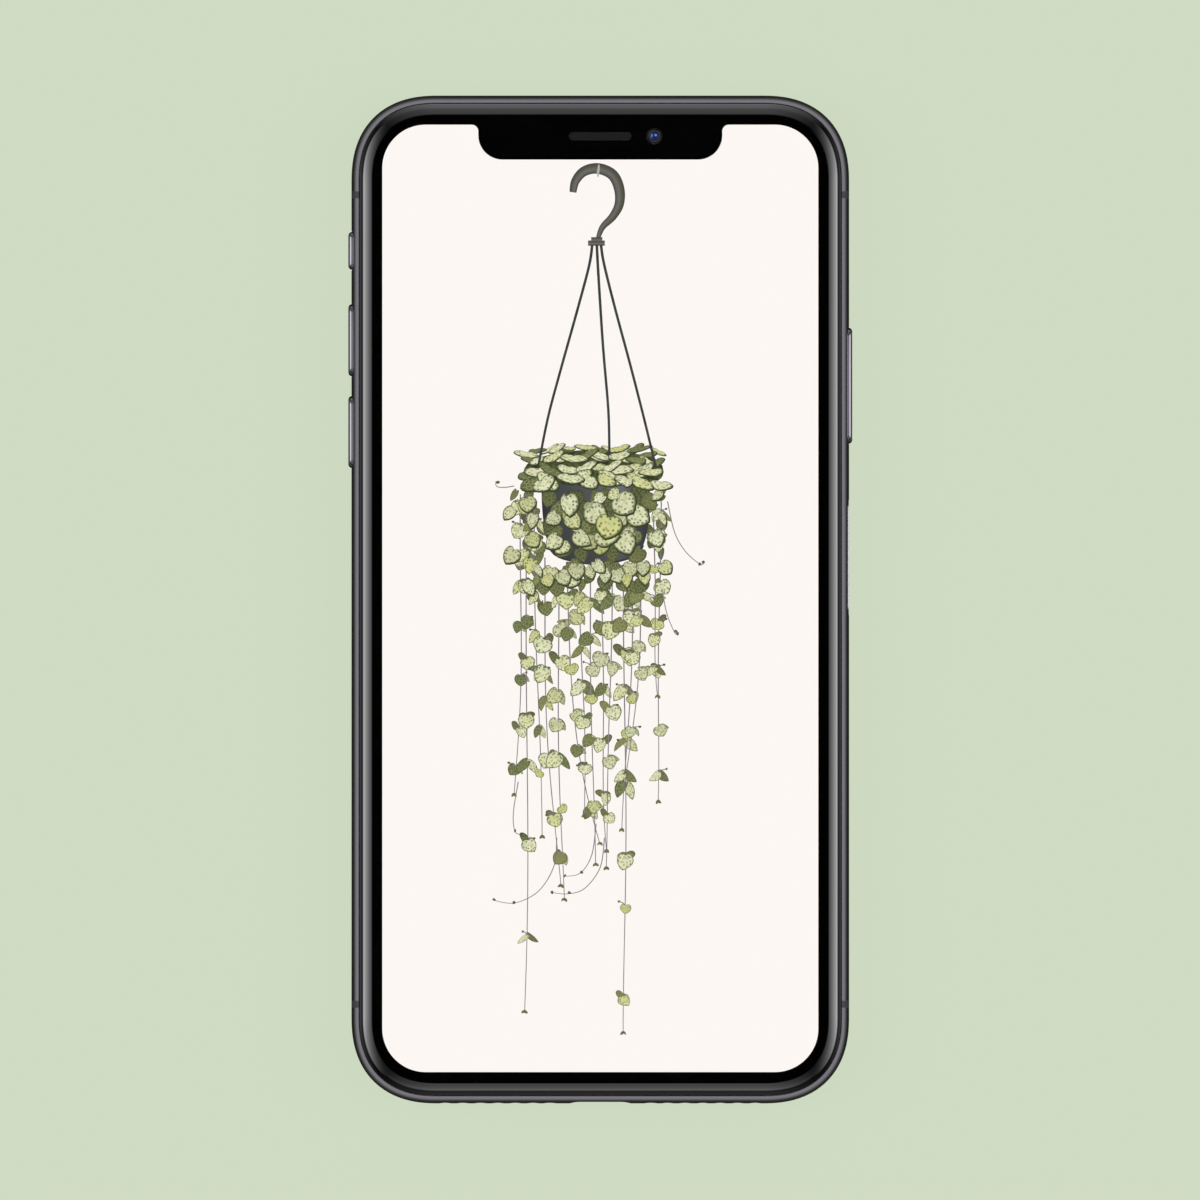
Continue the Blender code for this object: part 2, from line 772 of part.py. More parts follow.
def make_foot_parts():
    for name, x, y, top, look in (
        ("vibration_motor", (-0.0280, 0.0050), (-0.0588, -0.0485), 0.0050, steel()),
        ("loudspeaker", (0.0110, 0.0270), (-0.0686, -0.0485), 0.0054, black_plastic()),
        ("lower_antenna", (-0.0285, -0.0070), (-0.0660, -0.0596), 0.0050, carrier()),
        ("upper_antenna", (-0.0285, -0.0163), (0.0625, 0.0680), 0.0050, carrier()),
    ):
        block(name, x, y, (INSIDE_FLOOR, top), look, 0.0004)
    block("microphone", (-0.0185, -0.0140), (-0.0692, -0.0662), (0.0033, 0.0046), steel())

    back, mouth = -0.0620, -0.0693
    shell = capsule(PORT_WIDTH + 0.0012, PORT_HEIGHT + 0.0012, (0, MIDDLE_Z))
    socket = prism("charging_socket", "Y", shell, mouth, back, steel())
    pocket = capsule(PORT_WIDTH, PORT_HEIGHT, (0, MIDDLE_Z))
    cut(socket, prism("socket_pocket", "Y", pocket, mouth - 0.001, back - 0.0010, None))
    half = 0.00335
    block(
        "charging_tongue",
        (-half, half),
        (mouth + 0.0008, back - 0.0010 - FIT),
        (MIDDLE_Z - 0.00035, MIDDLE_Z + 0.00035),
        black_plastic(),
    )
    tip = -HEIGHT / 2 + 0.00015
    for name, x in (("left_screw", -SCREW_X), ("right_screw", SCREW_X)):
        stages = [
            (0.00055, tip + 0.0026),
            (0.00055, tip + 0.0008),
            (SCREW_RADIUS, tip + 0.0008),
            (SCREW_RADIUS, tip + 0.0001),
            (SCREW_RADIUS - 0.0001, tip),
            (0.0004, tip),
            (0.0004, tip + 0.0003),
        ]
        loops = [lift("Y", circle(r, (x, MIDDLE_Z), 12), y) for r, y in stages]
        loft(name, loops, steel())


def make_rear_cameras():
    low_y = CAMERA_Y - CAMERA_SPACING / 2
    high_y = CAMERA_Y + CAMERA_SPACING / 2
    plate = capsule(CAMERA_RING_WIDTH, CAMERA_RING_LENGTH, (CAMERA_X, CAMERA_Y), 8)
    ring = prism("camera_ring", "Z", plate, 0.0, 0.0014, metal())
    clear = material("lens glass", (0.01, 0.011, 0.014), 0.03)
    for name, y in (("main", high_y), ("zoom", low_y)):
        place = (CAMERA_X, y)
        seat = prism(name + "_seat", "Z", circle(0.0042, place), -0.001, 0.0009, None)
        bore = prism(name + "_bore", "Z", circle(0.0034, place), -0.001, 0.003, None)
        cut(ring, seat, bore)
        prism(name + "_lens_window", "Z", circle(0.0041, place), 0.0002, 0.0008, clear)
        half = 0.0049
        camera = block(
            name + "_camera",
            (CAMERA_X - half, CAMERA_X + half),
            (y - half, y + half),
            (0.0024, 0.0055),
            black_plastic(),
        )
        barrel = circle(0.0032, place)
        join(camera, prism(name + "_barrel", "Z", barrel, 0.0015, 0.0030, None))
    place = (FLASH_X, CAMERA_Y)
    diffuser = material("flash diffuser", (0.80, 0.78, 0.66), 0.3)
    prism("flash_window", "Z", circle(0.0023, place), 0.00005, 0.00075, diffuser)
    half = 0.0013
    yellow = material("flash phosphor", (0.80, 0.62, 0.12), 0.5)
    block(
        "flash_led",
        (FLASH_X - half, FLASH_X + half),
        (CAMERA_Y - half, CAMERA_Y + half),
        (0.00085, 0.00165),
        yellow,
    )


def main():
    clear_scene()
    make_frame()
    make_antenna_lines()
    make_cover_glass()
    make_back_glass()
    make_display()
    make_notch_sensors()
    make_key("volume_up_button", -1, VOLUME_UP_Y, VOLUME_LENGTH)
    make_key("volume_down_button", -1, VOLUME_DOWN_Y, VOLUME_LENGTH)
    make_key("side_button", 1, SIDE_KEY_Y, SIDE_KEY_LENGTH)
    make_ring_switch()
    make_switch_boards()
    make_sim_tray()
    make_sim_reader()
    make_power()
    make_boards()
    make_flat_cables()
    make_foot_parts()
    make_rear_cameras()


main()
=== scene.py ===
"""Dresses the smartphone in its finishes, with a lit picture of a hanging plant on its display.

Sizes are in metres. X runs across the phone, Y towards its earpiece and Z out of its display.
"""

import math
import random

import bmesh
import bpy
from mathutils import Matrix, Vector


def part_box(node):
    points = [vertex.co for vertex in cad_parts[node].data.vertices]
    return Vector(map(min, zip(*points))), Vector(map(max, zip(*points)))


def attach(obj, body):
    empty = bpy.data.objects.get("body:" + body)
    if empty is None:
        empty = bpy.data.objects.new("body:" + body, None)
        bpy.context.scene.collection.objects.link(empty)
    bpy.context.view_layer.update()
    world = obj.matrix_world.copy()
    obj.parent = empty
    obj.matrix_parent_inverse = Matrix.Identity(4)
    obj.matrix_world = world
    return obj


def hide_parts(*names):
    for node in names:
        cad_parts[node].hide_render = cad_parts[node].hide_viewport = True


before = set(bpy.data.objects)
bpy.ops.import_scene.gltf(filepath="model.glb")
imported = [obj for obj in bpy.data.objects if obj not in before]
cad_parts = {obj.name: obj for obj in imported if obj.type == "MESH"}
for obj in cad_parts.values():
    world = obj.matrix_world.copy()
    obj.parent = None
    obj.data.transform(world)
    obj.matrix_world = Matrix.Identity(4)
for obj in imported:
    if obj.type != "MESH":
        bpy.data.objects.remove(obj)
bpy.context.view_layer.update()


# The band is the phone's outer frame. It is a closed ring of grey anodised metal, milled to
# a rounded section, blasted to a satin and cut through for the keys, tray and socket.
half_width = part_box("frame")[1].x
half_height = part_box("frame")[1].y
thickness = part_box("cover_glass")[1].z
middle = thickness / 2
corner_reach = 0.0123
corner_fullness = 2.34
edge_round = 0.00292
lip_reach = 0.00100
lip_flat = 0.00005
ledge_drop = 0.00038
band_wall = 0.00240
slot_fullness = 0.4995
key_fullness = 0.49
same_spot = 0.0000002


def wire(made, value, socket):
    """Links an output to a socket, or sets the socket to a plain value."""
    if isinstance(value, bpy.types.NodeSocket):
        made.node_tree.links.new(value, socket)
    else:
        socket.default_value = value


def feed(made, **inputs):
    """Wires values to inputs of a finish's Principled shader, named with _ for a space."""
    for key, value in inputs.items():
        socket = key.replace("_", " ")
        wire(made, value, made.node_tree.nodes["Principled BSDF"].inputs[socket])


def new_finish(name, colour, roughness, metallic=0.0, **inputs):
    """A material with a Principled shader."""
    made = bpy.data.materials.new(name)
    made.use_nodes = True
    feed(made, Base_Color=(*colour, 1), Roughness=roughness, Metallic=metallic, **inputs)
    return made


def add(made, kind, inputs=None, **settings):
    """A shader node. Its inputs are numbers, colours or other nodes' outputs."""
    node = made.node_tree.nodes.new(kind)
    for key, value in settings.items():
        setattr(node, key, value)
    for key, value in (inputs or {}).items():
        wire(made, value, node.inputs[key])
    return node


def on_object(made, stretch=(1, 1, 1), shift=(0, 0, 0)):
    """Object coordinates, stretched along each axis and shifted."""
    coords = add(made, "ShaderNodeTexCoord").outputs["Object"]
    inputs = {"Vector": coords, "Scale": stretch, "Location": shift}
    return add(made, "ShaderNodeMapping", inputs).outputs["Vector"]


def grain(made, scale, detail=3.0, stretch=(1, 1, 1)):
    """Noise of a given fineness, in features to the metre."""
    inputs = {"Vector": on_object(made, stretch), "Scale": scale, "Detail": detail}
    return add(made, "ShaderNodeTexNoise", inputs).outputs["Fac"]


def spread(made, value, low, high, start=0.0, end=1.0):
    """Maps a value from start to end onto low to high."""
    inputs = {"Value": value, "From Min": start, "From Max": end, "To Min": low, "To Max": high}
    return add(made, "ShaderNodeMapRange", inputs).outputs["Result"]


def blend_colours(made, share, first, second):
    """Mixes two colours by a share. Each of the three may be an output."""
    pair = [c if isinstance(c, bpy.types.NodeSocket) else (*c, 1) for c in (first, second)]
    inputs = {"Factor": share, 6: pair[0], 7: pair[1]}
    return add(made, "ShaderNodeMix", inputs, data_type="RGBA").outputs[2]


def polish(made, pattern, low, high):
    """Varies a finish's roughness by a pattern."""
    feed(made, Roughness=spread(made, pattern, low, high))


def tint(made, pattern, first, second):
    """Varies a finish's colour by a pattern."""
    feed(made, Base_Color=blend_colours(made, pattern, first, second))


def relief(made, height, depth):
    """Bumps the surface by a height pattern that is depth metres deep."""
    bump = add(made, "ShaderNodeBump", {"Height": height, "Distance": depth, "Strength": 1.0})
    feed(made, Normal=bump.outputs["Normal"])


def satin_metal(name, colour, roughness):
    """Blasted and anodised metal, with faint rubbing along its length."""
    made = new_finish(name, colour, roughness, 1.0)
    blast = grain(made, 9000, 4.0)
    polish(made, grain(made, 260, 3.0, (1, 0.12, 1)), roughness * 0.8, roughness * 1.25)
    tint(made, blast, colour, tuple(c * 1.12 for c in colour))
    relief(made, blast, 0.0000012)
    return made


def bevel(shape, geom, reach, steps, affect="EDGES", profile=0.5):
    """Rounds edges or corners."""
    bmesh.ops.bevel(
        shape, geom=geom, offset=reach, segments=steps, profile=profile, affect=affect, material=-1
    )


def phone_face():
    """A flat face with the phone's outline. Its corners are a little squarer than an arc."""
    shape = bmesh.new()
    bmesh.ops.create_grid(shape, x_segments=1, y_segments=1, size=1.0)
    bmesh.ops.scale(shape, vec=(half_width, half_height, 1), verts=shape.verts)
    bevel(shape, shape.verts[:], corner_reach, 30, "VERTICES", 2 ** (-2 / corner_fullness))
    return shape, next(iter(shape.faces))


def draw_in(shape, face, across, up=0.0):
    """Draws a face inwards by across and outwards along its normal by up."""
    bmesh.ops.inset_region(
        shape, faces=[face], thickness=across, depth=up, use_boundary=True, use_even_offset=True
    )


def round_over(shape, face, start, end, steps):
    """Draws a face along the phone's rounded side, between two distances in from it."""
    first = math.acos(1 - start / edge_round)
    turn = (math.acos(1 - end / edge_round) - first) / steps
    for i in range(steps):
        low = first + turn * i
        high = low + turn
        across = edge_round * (math.cos(low) - math.cos(high))
        draw_in(shape, face, across, middle * (math.sin(high) - math.sin(low)))


def rise_at(reach):
    """How far the rounded side lies above mid-thickness, at a distance in from it."""
    return middle * math.sqrt(1 - (1 - reach / edge_round) ** 2)


def lift(shape, height):
    """Moves a shape up."""
    bmesh.ops.translate(shape, vec=(0, 0, height), verts=shape.verts)


def smooth(piece):
    """Shades a piece smooth, apart from its sharp edges."""
    piece.data.shade_smooth()
    piece.data.set_sharp_from_angle(angle=math.radians(30))


def set_down(name, shape):
    """Makes an object of a shape."""
    mesh = bpy.data.meshes.new(name)
    shape.to_mesh(mesh)
    shape.free()
    made = bpy.data.objects.new(name, mesh)
    bpy.context.scene.collection.objects.link(made)
    return made


def make_piece(name, shape, finish, body):
    """Turns a shape into a finished piece that rides on a body."""
    bmesh.ops.recalc_face_normals(shape, faces=shape.faces)
    piece = set_down(name, shape)
    piece.data.materials.append(finish)
    smooth(piece)
    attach(piece, body)
    return piece


def work(piece, shape, operation="DIFFERENCE"):
    """Cuts a shape out of a piece for good, joins it on, or keeps only what lies in it."""
    bmesh.ops.recalc_face_normals(shape, faces=shape.faces)
    tool = set_down("cutter", shape)
    step = piece.modifiers.new("cut", "BOOLEAN")
    step.operation = operation
    step.object = tool
    graph = bpy.context.evaluated_depsgraph_get()
    finished = bpy.data.meshes.new_from_object(piece.evaluated_get(graph))
    piece.modifiers.clear()
    finished.name = piece.name
    piece.data = finished
    spent = tool.data
    bpy.data.objects.remove(tool)
    bpy.data.meshes.remove(spent)
    smooth(piece)


def rounded_block(shape, low, high, axis, radius, steps=8):
    """Adds a block between two corners, with its four edges along one axis rounded."""
    low, high = Vector(low), Vector(high)
    verts = bmesh.ops.create_cube(shape, size=1.0)["verts"]
    bmesh.ops.scale(shape, vec=high - low, verts=verts)
    bmesh.ops.translate(shape, vec=(high + low) / 2, verts=verts)
    along = [
        edge
        for edge in dict.fromkeys(edge for vert in verts for edge in vert.link_edges)
        if abs(edge.verts[0].co[axis] - edge.verts[1].co[axis]) > 0.9 * (high - low)[axis]
    ]
    if radius:
        bevel(shape, along, radius, steps)
    return shape


def side_block(shape, side, start, end, y, length, height, z=middle, radius=None, steps=14):
    """Adds a round-ended block on a long side, between two distances from the middle."""
    x = sorted((side * start, side * end))
    low = (x[0], y - length / 2, z - height / 2)
    high = (x[1], y + length / 2, z + height / 2)
    return rounded_block(shape, low, high, 0, radius or height * key_fullness, steps)


def bar(shape, centre, turn_axis, length, radius, end_radius=None, segments=24):
    """Adds an upright round bar, or one that is laid down by a quarter turn about an axis."""
    turn = Matrix.Rotation(math.radians(90 if turn_axis else 0), 4, turn_axis or "Z")
    bmesh.ops.create_cone(
        shape,
        cap_ends=True,
        segments=segments,
        radius1=end_radius or radius,
        radius2=radius,
        depth=length,
        matrix=Matrix.Translation(centre) @ turn,
    )
    return shape


def rods(shape, centres, radius, start, end, end_radius=None, segments=24):
    """Adds rods along Y at mid-thickness, at each of the given places in X."""
    for x in centres:
        centre = (x, (start + end) / 2, middle)
        bar(shape, centre, "X", abs(end - start), radius, end_radius, segments)
    return shape


band_metal = satin_metal("anodised band", (0.225, 0.215, 0.245), 0.15)
shape, face = phone_face()
round_over(shape, face, 0.0, lip_reach, 22)
draw_in(shape, face, lip_flat)
draw_in(shape, face, 0.0, -ledge_drop)
draw_in(shape, face, band_wall - lip_reach - lip_flat)
draw_in(shape, face, 0.0, ledge_drop - rise_at(lip_reach))
bmesh.ops.delete(shape, geom=[face], context="FACES_ONLY")
upper_half = shape.verts[:] + shape.edges[:] + shape.faces[:]
bmesh.ops.mirror(shape, geom=upper_half, axis="Z", merge_dist=same_spot)
bmesh.ops.remove_doubles(shape, verts=shape.verts, dist=same_spot)
lift(shape, middle)
band = make_piece("band", shape, band_metal, "body")
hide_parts("frame")

cutter_reach = 0.001
slot_deep = 0.0035
slot_play = 0.0002
key_height = 0.0024
key_gap = 0.00015
flange_margin = 0.0006
keys = (
    ("volume_up_key", "volume_up_button", -1, "volume_up"),
    ("volume_down_key", "volume_down_button", -1, "volume_down"),
    ("side_key", "side_button", 1, "side_key"),
)
ring_low, ring_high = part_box("ring_switch")
ring_y = (ring_low.y + ring_high.y) / 2
ring_height = 0.0017
ring_travel = 0.0009
ring_length = 0.0054
ring_slot_round = 0.00095
tray_low, tray_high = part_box("sim_tray")
tray_y = (tray_low.y + tray_high.y) / 2
tray_length = tray_high.y - tray_low.y
slots = bmesh.new()


def side_slot(side, y, length, height, radius=None):
    """Adds a round-ended cutter that enters a long side of the band."""
    start, end = half_width + cutter_reach, half_width - slot_deep
    radius = radius or height * slot_fullness
    side_block(slots, side, start, end, y, length, height, middle, radius, 10)


for name, node, side, body in keys:
    low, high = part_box(node)
    length = high.y - low.y - 2 * flange_margin + 2 * key_gap
    side_slot(side, (low.y + high.y) / 2, length, key_height + 2 * key_gap)
height = ring_height + ring_travel + slot_play
side_slot(-1, ring_y, ring_length + 2 * key_gap, height, ring_slot_round)
side_slot(1, tray_y, tray_length + slot_play, key_height + slot_play)
work(band, slots)

foot = -half_height
foot_deep = 0.003
mouth_x, mouth_z = 0.00437, 0.00148
low = (-mouth_x, foot - cutter_reach, middle - mouth_z)
high = (mouth_x, foot + foot_deep, middle + mouth_z)
work(band, rounded_block(bmesh.new(), low, high, 1, mouth_z - 0.00001))
hole_radius = 0.00075
hole_mouth = 0.00100
hole_places = [side * (0.0096 + 0.0025 * i) for side in (-1, 1) for i in range(6)]
work(band, rods(bmesh.new(), hole_places, hole_radius, foot - cutter_reach, foot + foot_deep))
work(band, rods(bmesh.new(), hole_places, hole_radius, foot - 0.0001, foot + 0.00015, hole_mouth))
screw_places = (-0.0072, 0.0072)
work(band, rods(bmesh.new(), screw_places, 0.00095, foot - cutter_reach, foot + 0.0028))


# A thin plate of the same metal closes the band behind the insides. It has openings for the
# rear cameras, the flash and the charging coil.
plate_bottom = 0.00102
plate_top = 0.00145
plate_gap = 0.00008
camera_x = 0.0235
camera_y = 0.0520
flash_x = 0.0128
coil_y = -0.003
plate_cut = 0.003


def bores(shape, places, radius, low, high):
    """Adds upright round cutters."""
    for x, y in places:
        bar(shape, (x, y, (low + high) / 2), None, high - low, radius, segments=64)
    return shape


def camera_capsule(half_x, half_y):
    """An upright round-ended cutter at the rear cameras."""
    low = (camera_x - half_x, camera_y - half_y, -cutter_reach)
    high = (camera_x + half_x, camera_y + half_y, plate_cut)
    return rounded_block(bmesh.new(), low, high, 2, half_x * 0.998, 16)


def phone_sheet(reach, height):
    """A flat face at a height, a distance in from the phone's outline."""
    shape, face = phone_face()
    draw_in(shape, face, reach)
    bmesh.ops.delete(shape, geom=[f for f in shape.faces if f is not face], context="FACES")
    lift(shape, height)
    return shape, face


def close(shape, bridge=False):
    """Fills a shape's open side, or joins its two open rims."""
    rims = [edge for edge in shape.edges if edge.is_boundary]
    if bridge:
        bmesh.ops.bridge_loops(shape, edges=rims)
    else:
        bmesh.ops.holes_fill(shape, edges=rims, sides=0)


shape, face = phone_sheet(lip_reach + plate_gap, plate_bottom)
draw_in(shape, face, 0.0, plate_top - plate_bottom)
close(shape)
plate = make_piece("back_plate", shape, band_metal, "body")
work(plate, camera_capsule(0.0055, 0.0110))
for place, radius in (((flash_x, camera_y), 0.0025), ((0, coil_y), 0.0216)):
    work(plate, bores(bmesh.new(), [place], radius, 0.0, plate_cut))


# Antenna lines are plugs of dark plastic, moulded into breaks in the band and milled flush
# with it, so that the band's ends can work as antennas.
antenna_y = 0.05775
break_half = 0.0005
line_half = 0.000499


def grained(
    name, colour, roughness, metallic=0.0, *, fine, detail=3.0, stretch=(1, 1, 1),
    shine=None, tones=None, depth=None, **inputs,
):
    """A finish whose roughness, colour and relief follow one fine grain."""
    made = new_finish(name, colour, roughness, metallic, **inputs)
    pattern = grain(made, fine, detail, stretch)
    if shine:
        polish(made, pattern, *shine)
    if tones:
        tint(made, pattern, *tones)
    if depth:
        relief(made, pattern, depth)
    return made


def band_slices(half):
    """Cutters across the band at its four antenna breaks."""
    cutters = bmesh.new()
    for side in (-1, 1):
        for end in (-1, 1):
            x = sorted((side * (half_width - 0.003), side * (half_width + cutter_reach)))
            low = (x[0], end * antenna_y - half, -cutter_reach)
            high = (x[1], end * antenna_y + half, thickness + cutter_reach)
            rounded_block(cutters, low, high, 2, 0)
    return cutters


antenna_plastic = grained(
    "antenna plastic", (0.020, 0.018, 0.024), 0.4,
    fine=14000, detail=4.0, shine=(0.34, 0.48), depth=0.000002,
)
lines = band.copy()
lines.data = band.data.copy()
lines.name = lines.data.name = "antenna_lines"
bpy.context.scene.collection.objects.link(lines)
work(lines, band_slices(line_half), "INTERSECT")
lines.data.materials.clear()
lines.data.materials.append(antenna_plastic)
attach(lines, "body")
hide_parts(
    *[f"antenna_line_{end}_{side}" for end in ("upper", "lower") for side in ("left", "right")]
)
work(band, band_slices(break_half))


# The back is one sheet of glass with its edges ground round, coated dark grey on its inner
# face. It has an opening for the camera ring and one for the flash.
glass_reach = 0.00119
glass_rim = 0.00095
seam = 0.00005


def glass_sheet(edge_only=False):
    """A sheet with a rounded outer edge, or that edge alone. It ends at half the thickness."""
    rim = rise_at(glass_reach)
    under = middle - glass_rim
    shape, face = phone_sheet(glass_reach, under)
    draw_in(shape, face, 0.0, rim - under)
    round_over(shape, face, glass_reach, edge_round, 18)
    draw_in(shape, face, seam)
    if edge_only:
        draw_in(shape, face, 0.0, -glass_rim)
        bmesh.ops.delete(shape, geom=[face], context="FACES_ONLY")
    close(shape, bridge=edge_only)
    return shape


coated_glass = new_finish(
    "coated back glass", (0.022, 0.022, 0.025), 0.16, Coat_Weight=1.0, Coat_Roughness=0.02
)
flecks = spread(coated_glass, grain(coated_glass, 16000, 2.0), 0.0, 1.0, 0.55, 0.8)
tint(coated_glass, flecks, (0.02, 0.02, 0.023), (0.04, 0.039, 0.046))
polish(coated_glass, grain(coated_glass, 60), 0.22, 0.34)
shape = glass_sheet()
bmesh.ops.scale(shape, vec=(1, 1, -1), verts=shape.verts)
lift(shape, middle)
back = make_piece("back_sheet", shape, coated_glass, "body")
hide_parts("back_glass")
openings = camera_capsule(0.0056, 0.0111)
work(back, bores(openings, [(flash_x, camera_y)], 0.0024, -cutter_reach, plate_cut))


# The rear camera ring is turned from the same metal as the band. It holds two clear windows,
# and behind each a black stepped barrel carries a coated lens.
ring_half_x = 0.0055
ring_half_y = 0.0110
ring_deep = 0.0014
seat_radius = 0.0042
seat_deep = 0.0009
view_radius = 0.0034
window_radius = 0.0041
barrel_step = 0.00014
barrel_top = 0.00142
barrel_radii = (0.0016, 0.0020, 0.0025, 0.0029, 0.0033)
rear_lens_radius = 0.00155
lens_places = ((camera_x, camera_y + 0.0055), (camera_x, camera_y - 0.0055))


def turned(shape, place, profile, steps=48):
    """Turns a profile of (radius, height) points about an upright axis at a place."""
    points = [shape.verts.new((place[0] + radius, place[1], height)) for radius, height in profile]
    edges = [shape.edges.new(pair) for pair in zip(points, points[1:])]
    bmesh.ops.spin(
        shape,
        geom=points + edges,
        cent=(place[0], place[1], 0),
        axis=(0, 0, 1),
        angle=math.radians(360),
        steps=steps,
        use_merge=True,
    )
    bmesh.ops.remove_doubles(shape, verts=shape.verts, dist=0.0000005)
    return shape


def window_profile(radius, low, high, chamfer):
    """The profile of a round window with a chamfer round its outer face."""
    return [(0.0, low), (radius - chamfer, low), (radius, low + chamfer), (radius, high), (0.0, high)]


ring_metal = satin_metal("camera ring metal", (0.30, 0.29, 0.32), 0.16)
low = (camera_x - ring_half_x, camera_y - ring_half_y, 0.0)
high = (camera_x + ring_half_x, camera_y + ring_half_y, ring_deep)
shape = rounded_block(bmesh.new(), low, high, 2, ring_half_x * 2 * slot_fullness, 20)
lower_rim = [edge for edge in shape.edges if max(vert.co.z for vert in edge.verts) < 0.00001]
bevel(shape, lower_rim, 0.00012, 3)
ring = make_piece("lens_ring", shape, ring_metal, "body")
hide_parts("camera_ring")
work(ring, bores(bmesh.new(), lens_places, seat_radius, -cutter_reach, seat_deep))
work(ring, bores(bmesh.new(), lens_places, view_radius, -cutter_reach, plate_cut))

window_glass = grained(
    "lens window glass", (1, 1, 1), 0.0,
    fine=500, shine=(0.0, 0.02), Transmission_Weight=1.0, IOR=1.52,
)
barrel_black = new_finish("barrel black", (0.006, 0.006, 0.007), 0.45)


def stripes(made, scale, direction, distortion=0.0):
    """Waves of a given fineness that follow each other along an axis."""
    inputs = {"Vector": on_object(made), "Scale": scale, "Distortion": distortion}
    return add(made, "ShaderNodeTexWave", inputs, bands_direction=direction).outputs["Fac"]


relief(barrel_black, stripes(barrel_black, 5200.0, "Z", 0.4), 0.000006)
lens_coat = grained(
    "coated lens", (0.004, 0.004, 0.008), 0.02,
    fine=900, shine=(0.01, 0.04),
    Specular_IOR_Level=0.9, Coat_Weight=1.0, Coat_Tint=(0.55, 0.5, 1.0, 1),
)
# The lens's colour turns from deep blue head-on to violet at glancing angles: a painted sheen of its
# coating.
facing = add(lens_coat, "ShaderNodeLayerWeight", {"Blend": 0.45}).outputs["Facing"]
tint(lens_coat, facing, (0.003, 0.006, 0.02), (0.05, 0.012, 0.07))

barrel = [(0.0, barrel_top)]
for i, (inner, outer) in enumerate(zip(barrel_radii, barrel_radii[1:]), 1):
    height = barrel_top - barrel_step * i
    barrel += [(inner, height + barrel_step), (inner, height), (outer, height)]
barrel += [(barrel_radii[-1], 0.00148), (0.0, 0.00148)]
lens = [(0.0, 0.00141), (rear_lens_radius, 0.00141)]
for angle in range(0, 90, 10):
    turn = math.radians(angle)
    lens.append((rear_lens_radius * math.cos(turn), 0.00136 - 0.00028 * math.sin(turn)))
lens.append((0.0, 0.00108))
windows, barrels, lenses = bmesh.new(), bmesh.new(), bmesh.new()
for place in lens_places:
    turned(windows, place, window_profile(window_radius, 0.0002, 0.0008, 0.00008))
    turned(barrels, place, barrel)
    turned(lenses, place, lens)
piece = make_piece("lens_windows", windows, window_glass, "body")
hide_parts("main_lens_window", "zoom_lens_window")
make_piece("lens_barrels", barrels, barrel_black, "body")
make_piece("rear_lenses", lenses, lens_coat, "body")


# The flash is a yellow phosphor on a small lamp board, under a cloudy window that is
# moulded with fine rings to spread its light.
def rings_about(made, x, y, scale):
    """Round waves of a given fineness about an upright axis."""
    inputs = {"Vector": on_object(made, shift=(-x, -y, 0)), "Scale": scale}
    settings = {"wave_type": "RINGS", "rings_direction": "Z"}
    return add(made, "ShaderNodeTexWave", inputs, **settings).outputs["Fac"]


def dress(finish, *nodes):
    """Gives CAD nodes a finish."""
    for name in nodes:
        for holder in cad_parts[name].material_slots:
            holder.material = finish


cloudy = new_finish(
    "flash window", (0.80, 0.77, 0.66), 0.22, Transmission_Weight=0.55, Coat_Weight=1.0
)
relief(cloudy, rings_about(cloudy, flash_x, camera_y, 900.0), 0.00003)
flash_radius, flash_low, flash_high = 0.0023, 0.00005, 0.00075
profile = window_profile(flash_radius, flash_low, flash_high, 0.0001)
shape = turned(bmesh.new(), (flash_x, camera_y), profile)
piece = make_piece("flash_cover", shape, cloudy, "body")
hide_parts("flash_window")
phosphor = grained(
    "flash phosphor", (0.80, 0.60, 0.10), 0.6,
    fine=22000, detail=2.0, tones=((0.78, 0.55, 0.06), (0.86, 0.70, 0.22)), depth=0.00001,
)
dress(phosphor, "flash_led")


# Inside, the battery is a black foil pouch, the charging coil is wound copper wire, and the
# boards are green with fine tracks under their lacquer.
foil = grained(
    "battery foil", (0.03, 0.03, 0.032), 0.35, 0.3, fine=170, detail=5.0,
    shine=(0.28, 0.5), tones=((0.022, 0.022, 0.024), (0.045, 0.045, 0.048)), depth=0.00006,
)
dress(foil, "battery")

copper = new_finish("copper winding", (0.72, 0.34, 0.18), 0.35, 1.0)
turns = rings_about(copper, 0, coil_y, 320.0)
relief(copper, turns, 0.0001)
tint(copper, turns, (0.25, 0.09, 0.04), (0.80, 0.40, 0.22))
dress(copper, "wireless_coil")

board = new_finish("lacquered board", (0.02, 0.06, 0.05), 0.35, Coat_Weight=0.4)
layout = {"Vector": on_object(board), "Scale": 900.0, "Mortar Size": 0.04, "Bias": 0.2}
layout["Color1"] = (0.012, 0.055, 0.045, 1)
layout["Color2"] = (0.016, 0.075, 0.055, 1)
layout["Mortar"] = (0.05, 0.13, 0.08, 1)
tracks = add(board, "ShaderNodeTexBrick", layout)
feed(board, Base_Color=tracks.outputs["Color"])
relief(board, tracks.outputs["Fac"], 0.00002)
dress(board, "logic_board", "volume_switch_board", "side_switch_board")

steel = grained(
    "stamped steel", (0.55, 0.55, 0.57), 0.33, 1.0, fine=1400, detail=4.0, stretch=(0.06, 1, 1),
    shine=(0.25, 0.45), tones=((0.48, 0.48, 0.50), (0.60, 0.60, 0.61)), depth=0.000004,
)
dress(steel, "upper_shield", "lower_shield", "radio_shield", "sensor_bracket", "sim_reader")
dress(steel, "vibration_motor", "microphone", "charging_socket")

amber = new_finish("amber flat cable", (0.30, 0.14, 0.03), 0.35, Coat_Weight=0.5)
tint(amber, stripes(amber, 700.0, "X", 0.2), (0.22, 0.09, 0.015), (0.42, 0.22, 0.06))
dress(amber, "display_flex", "dock_flex")


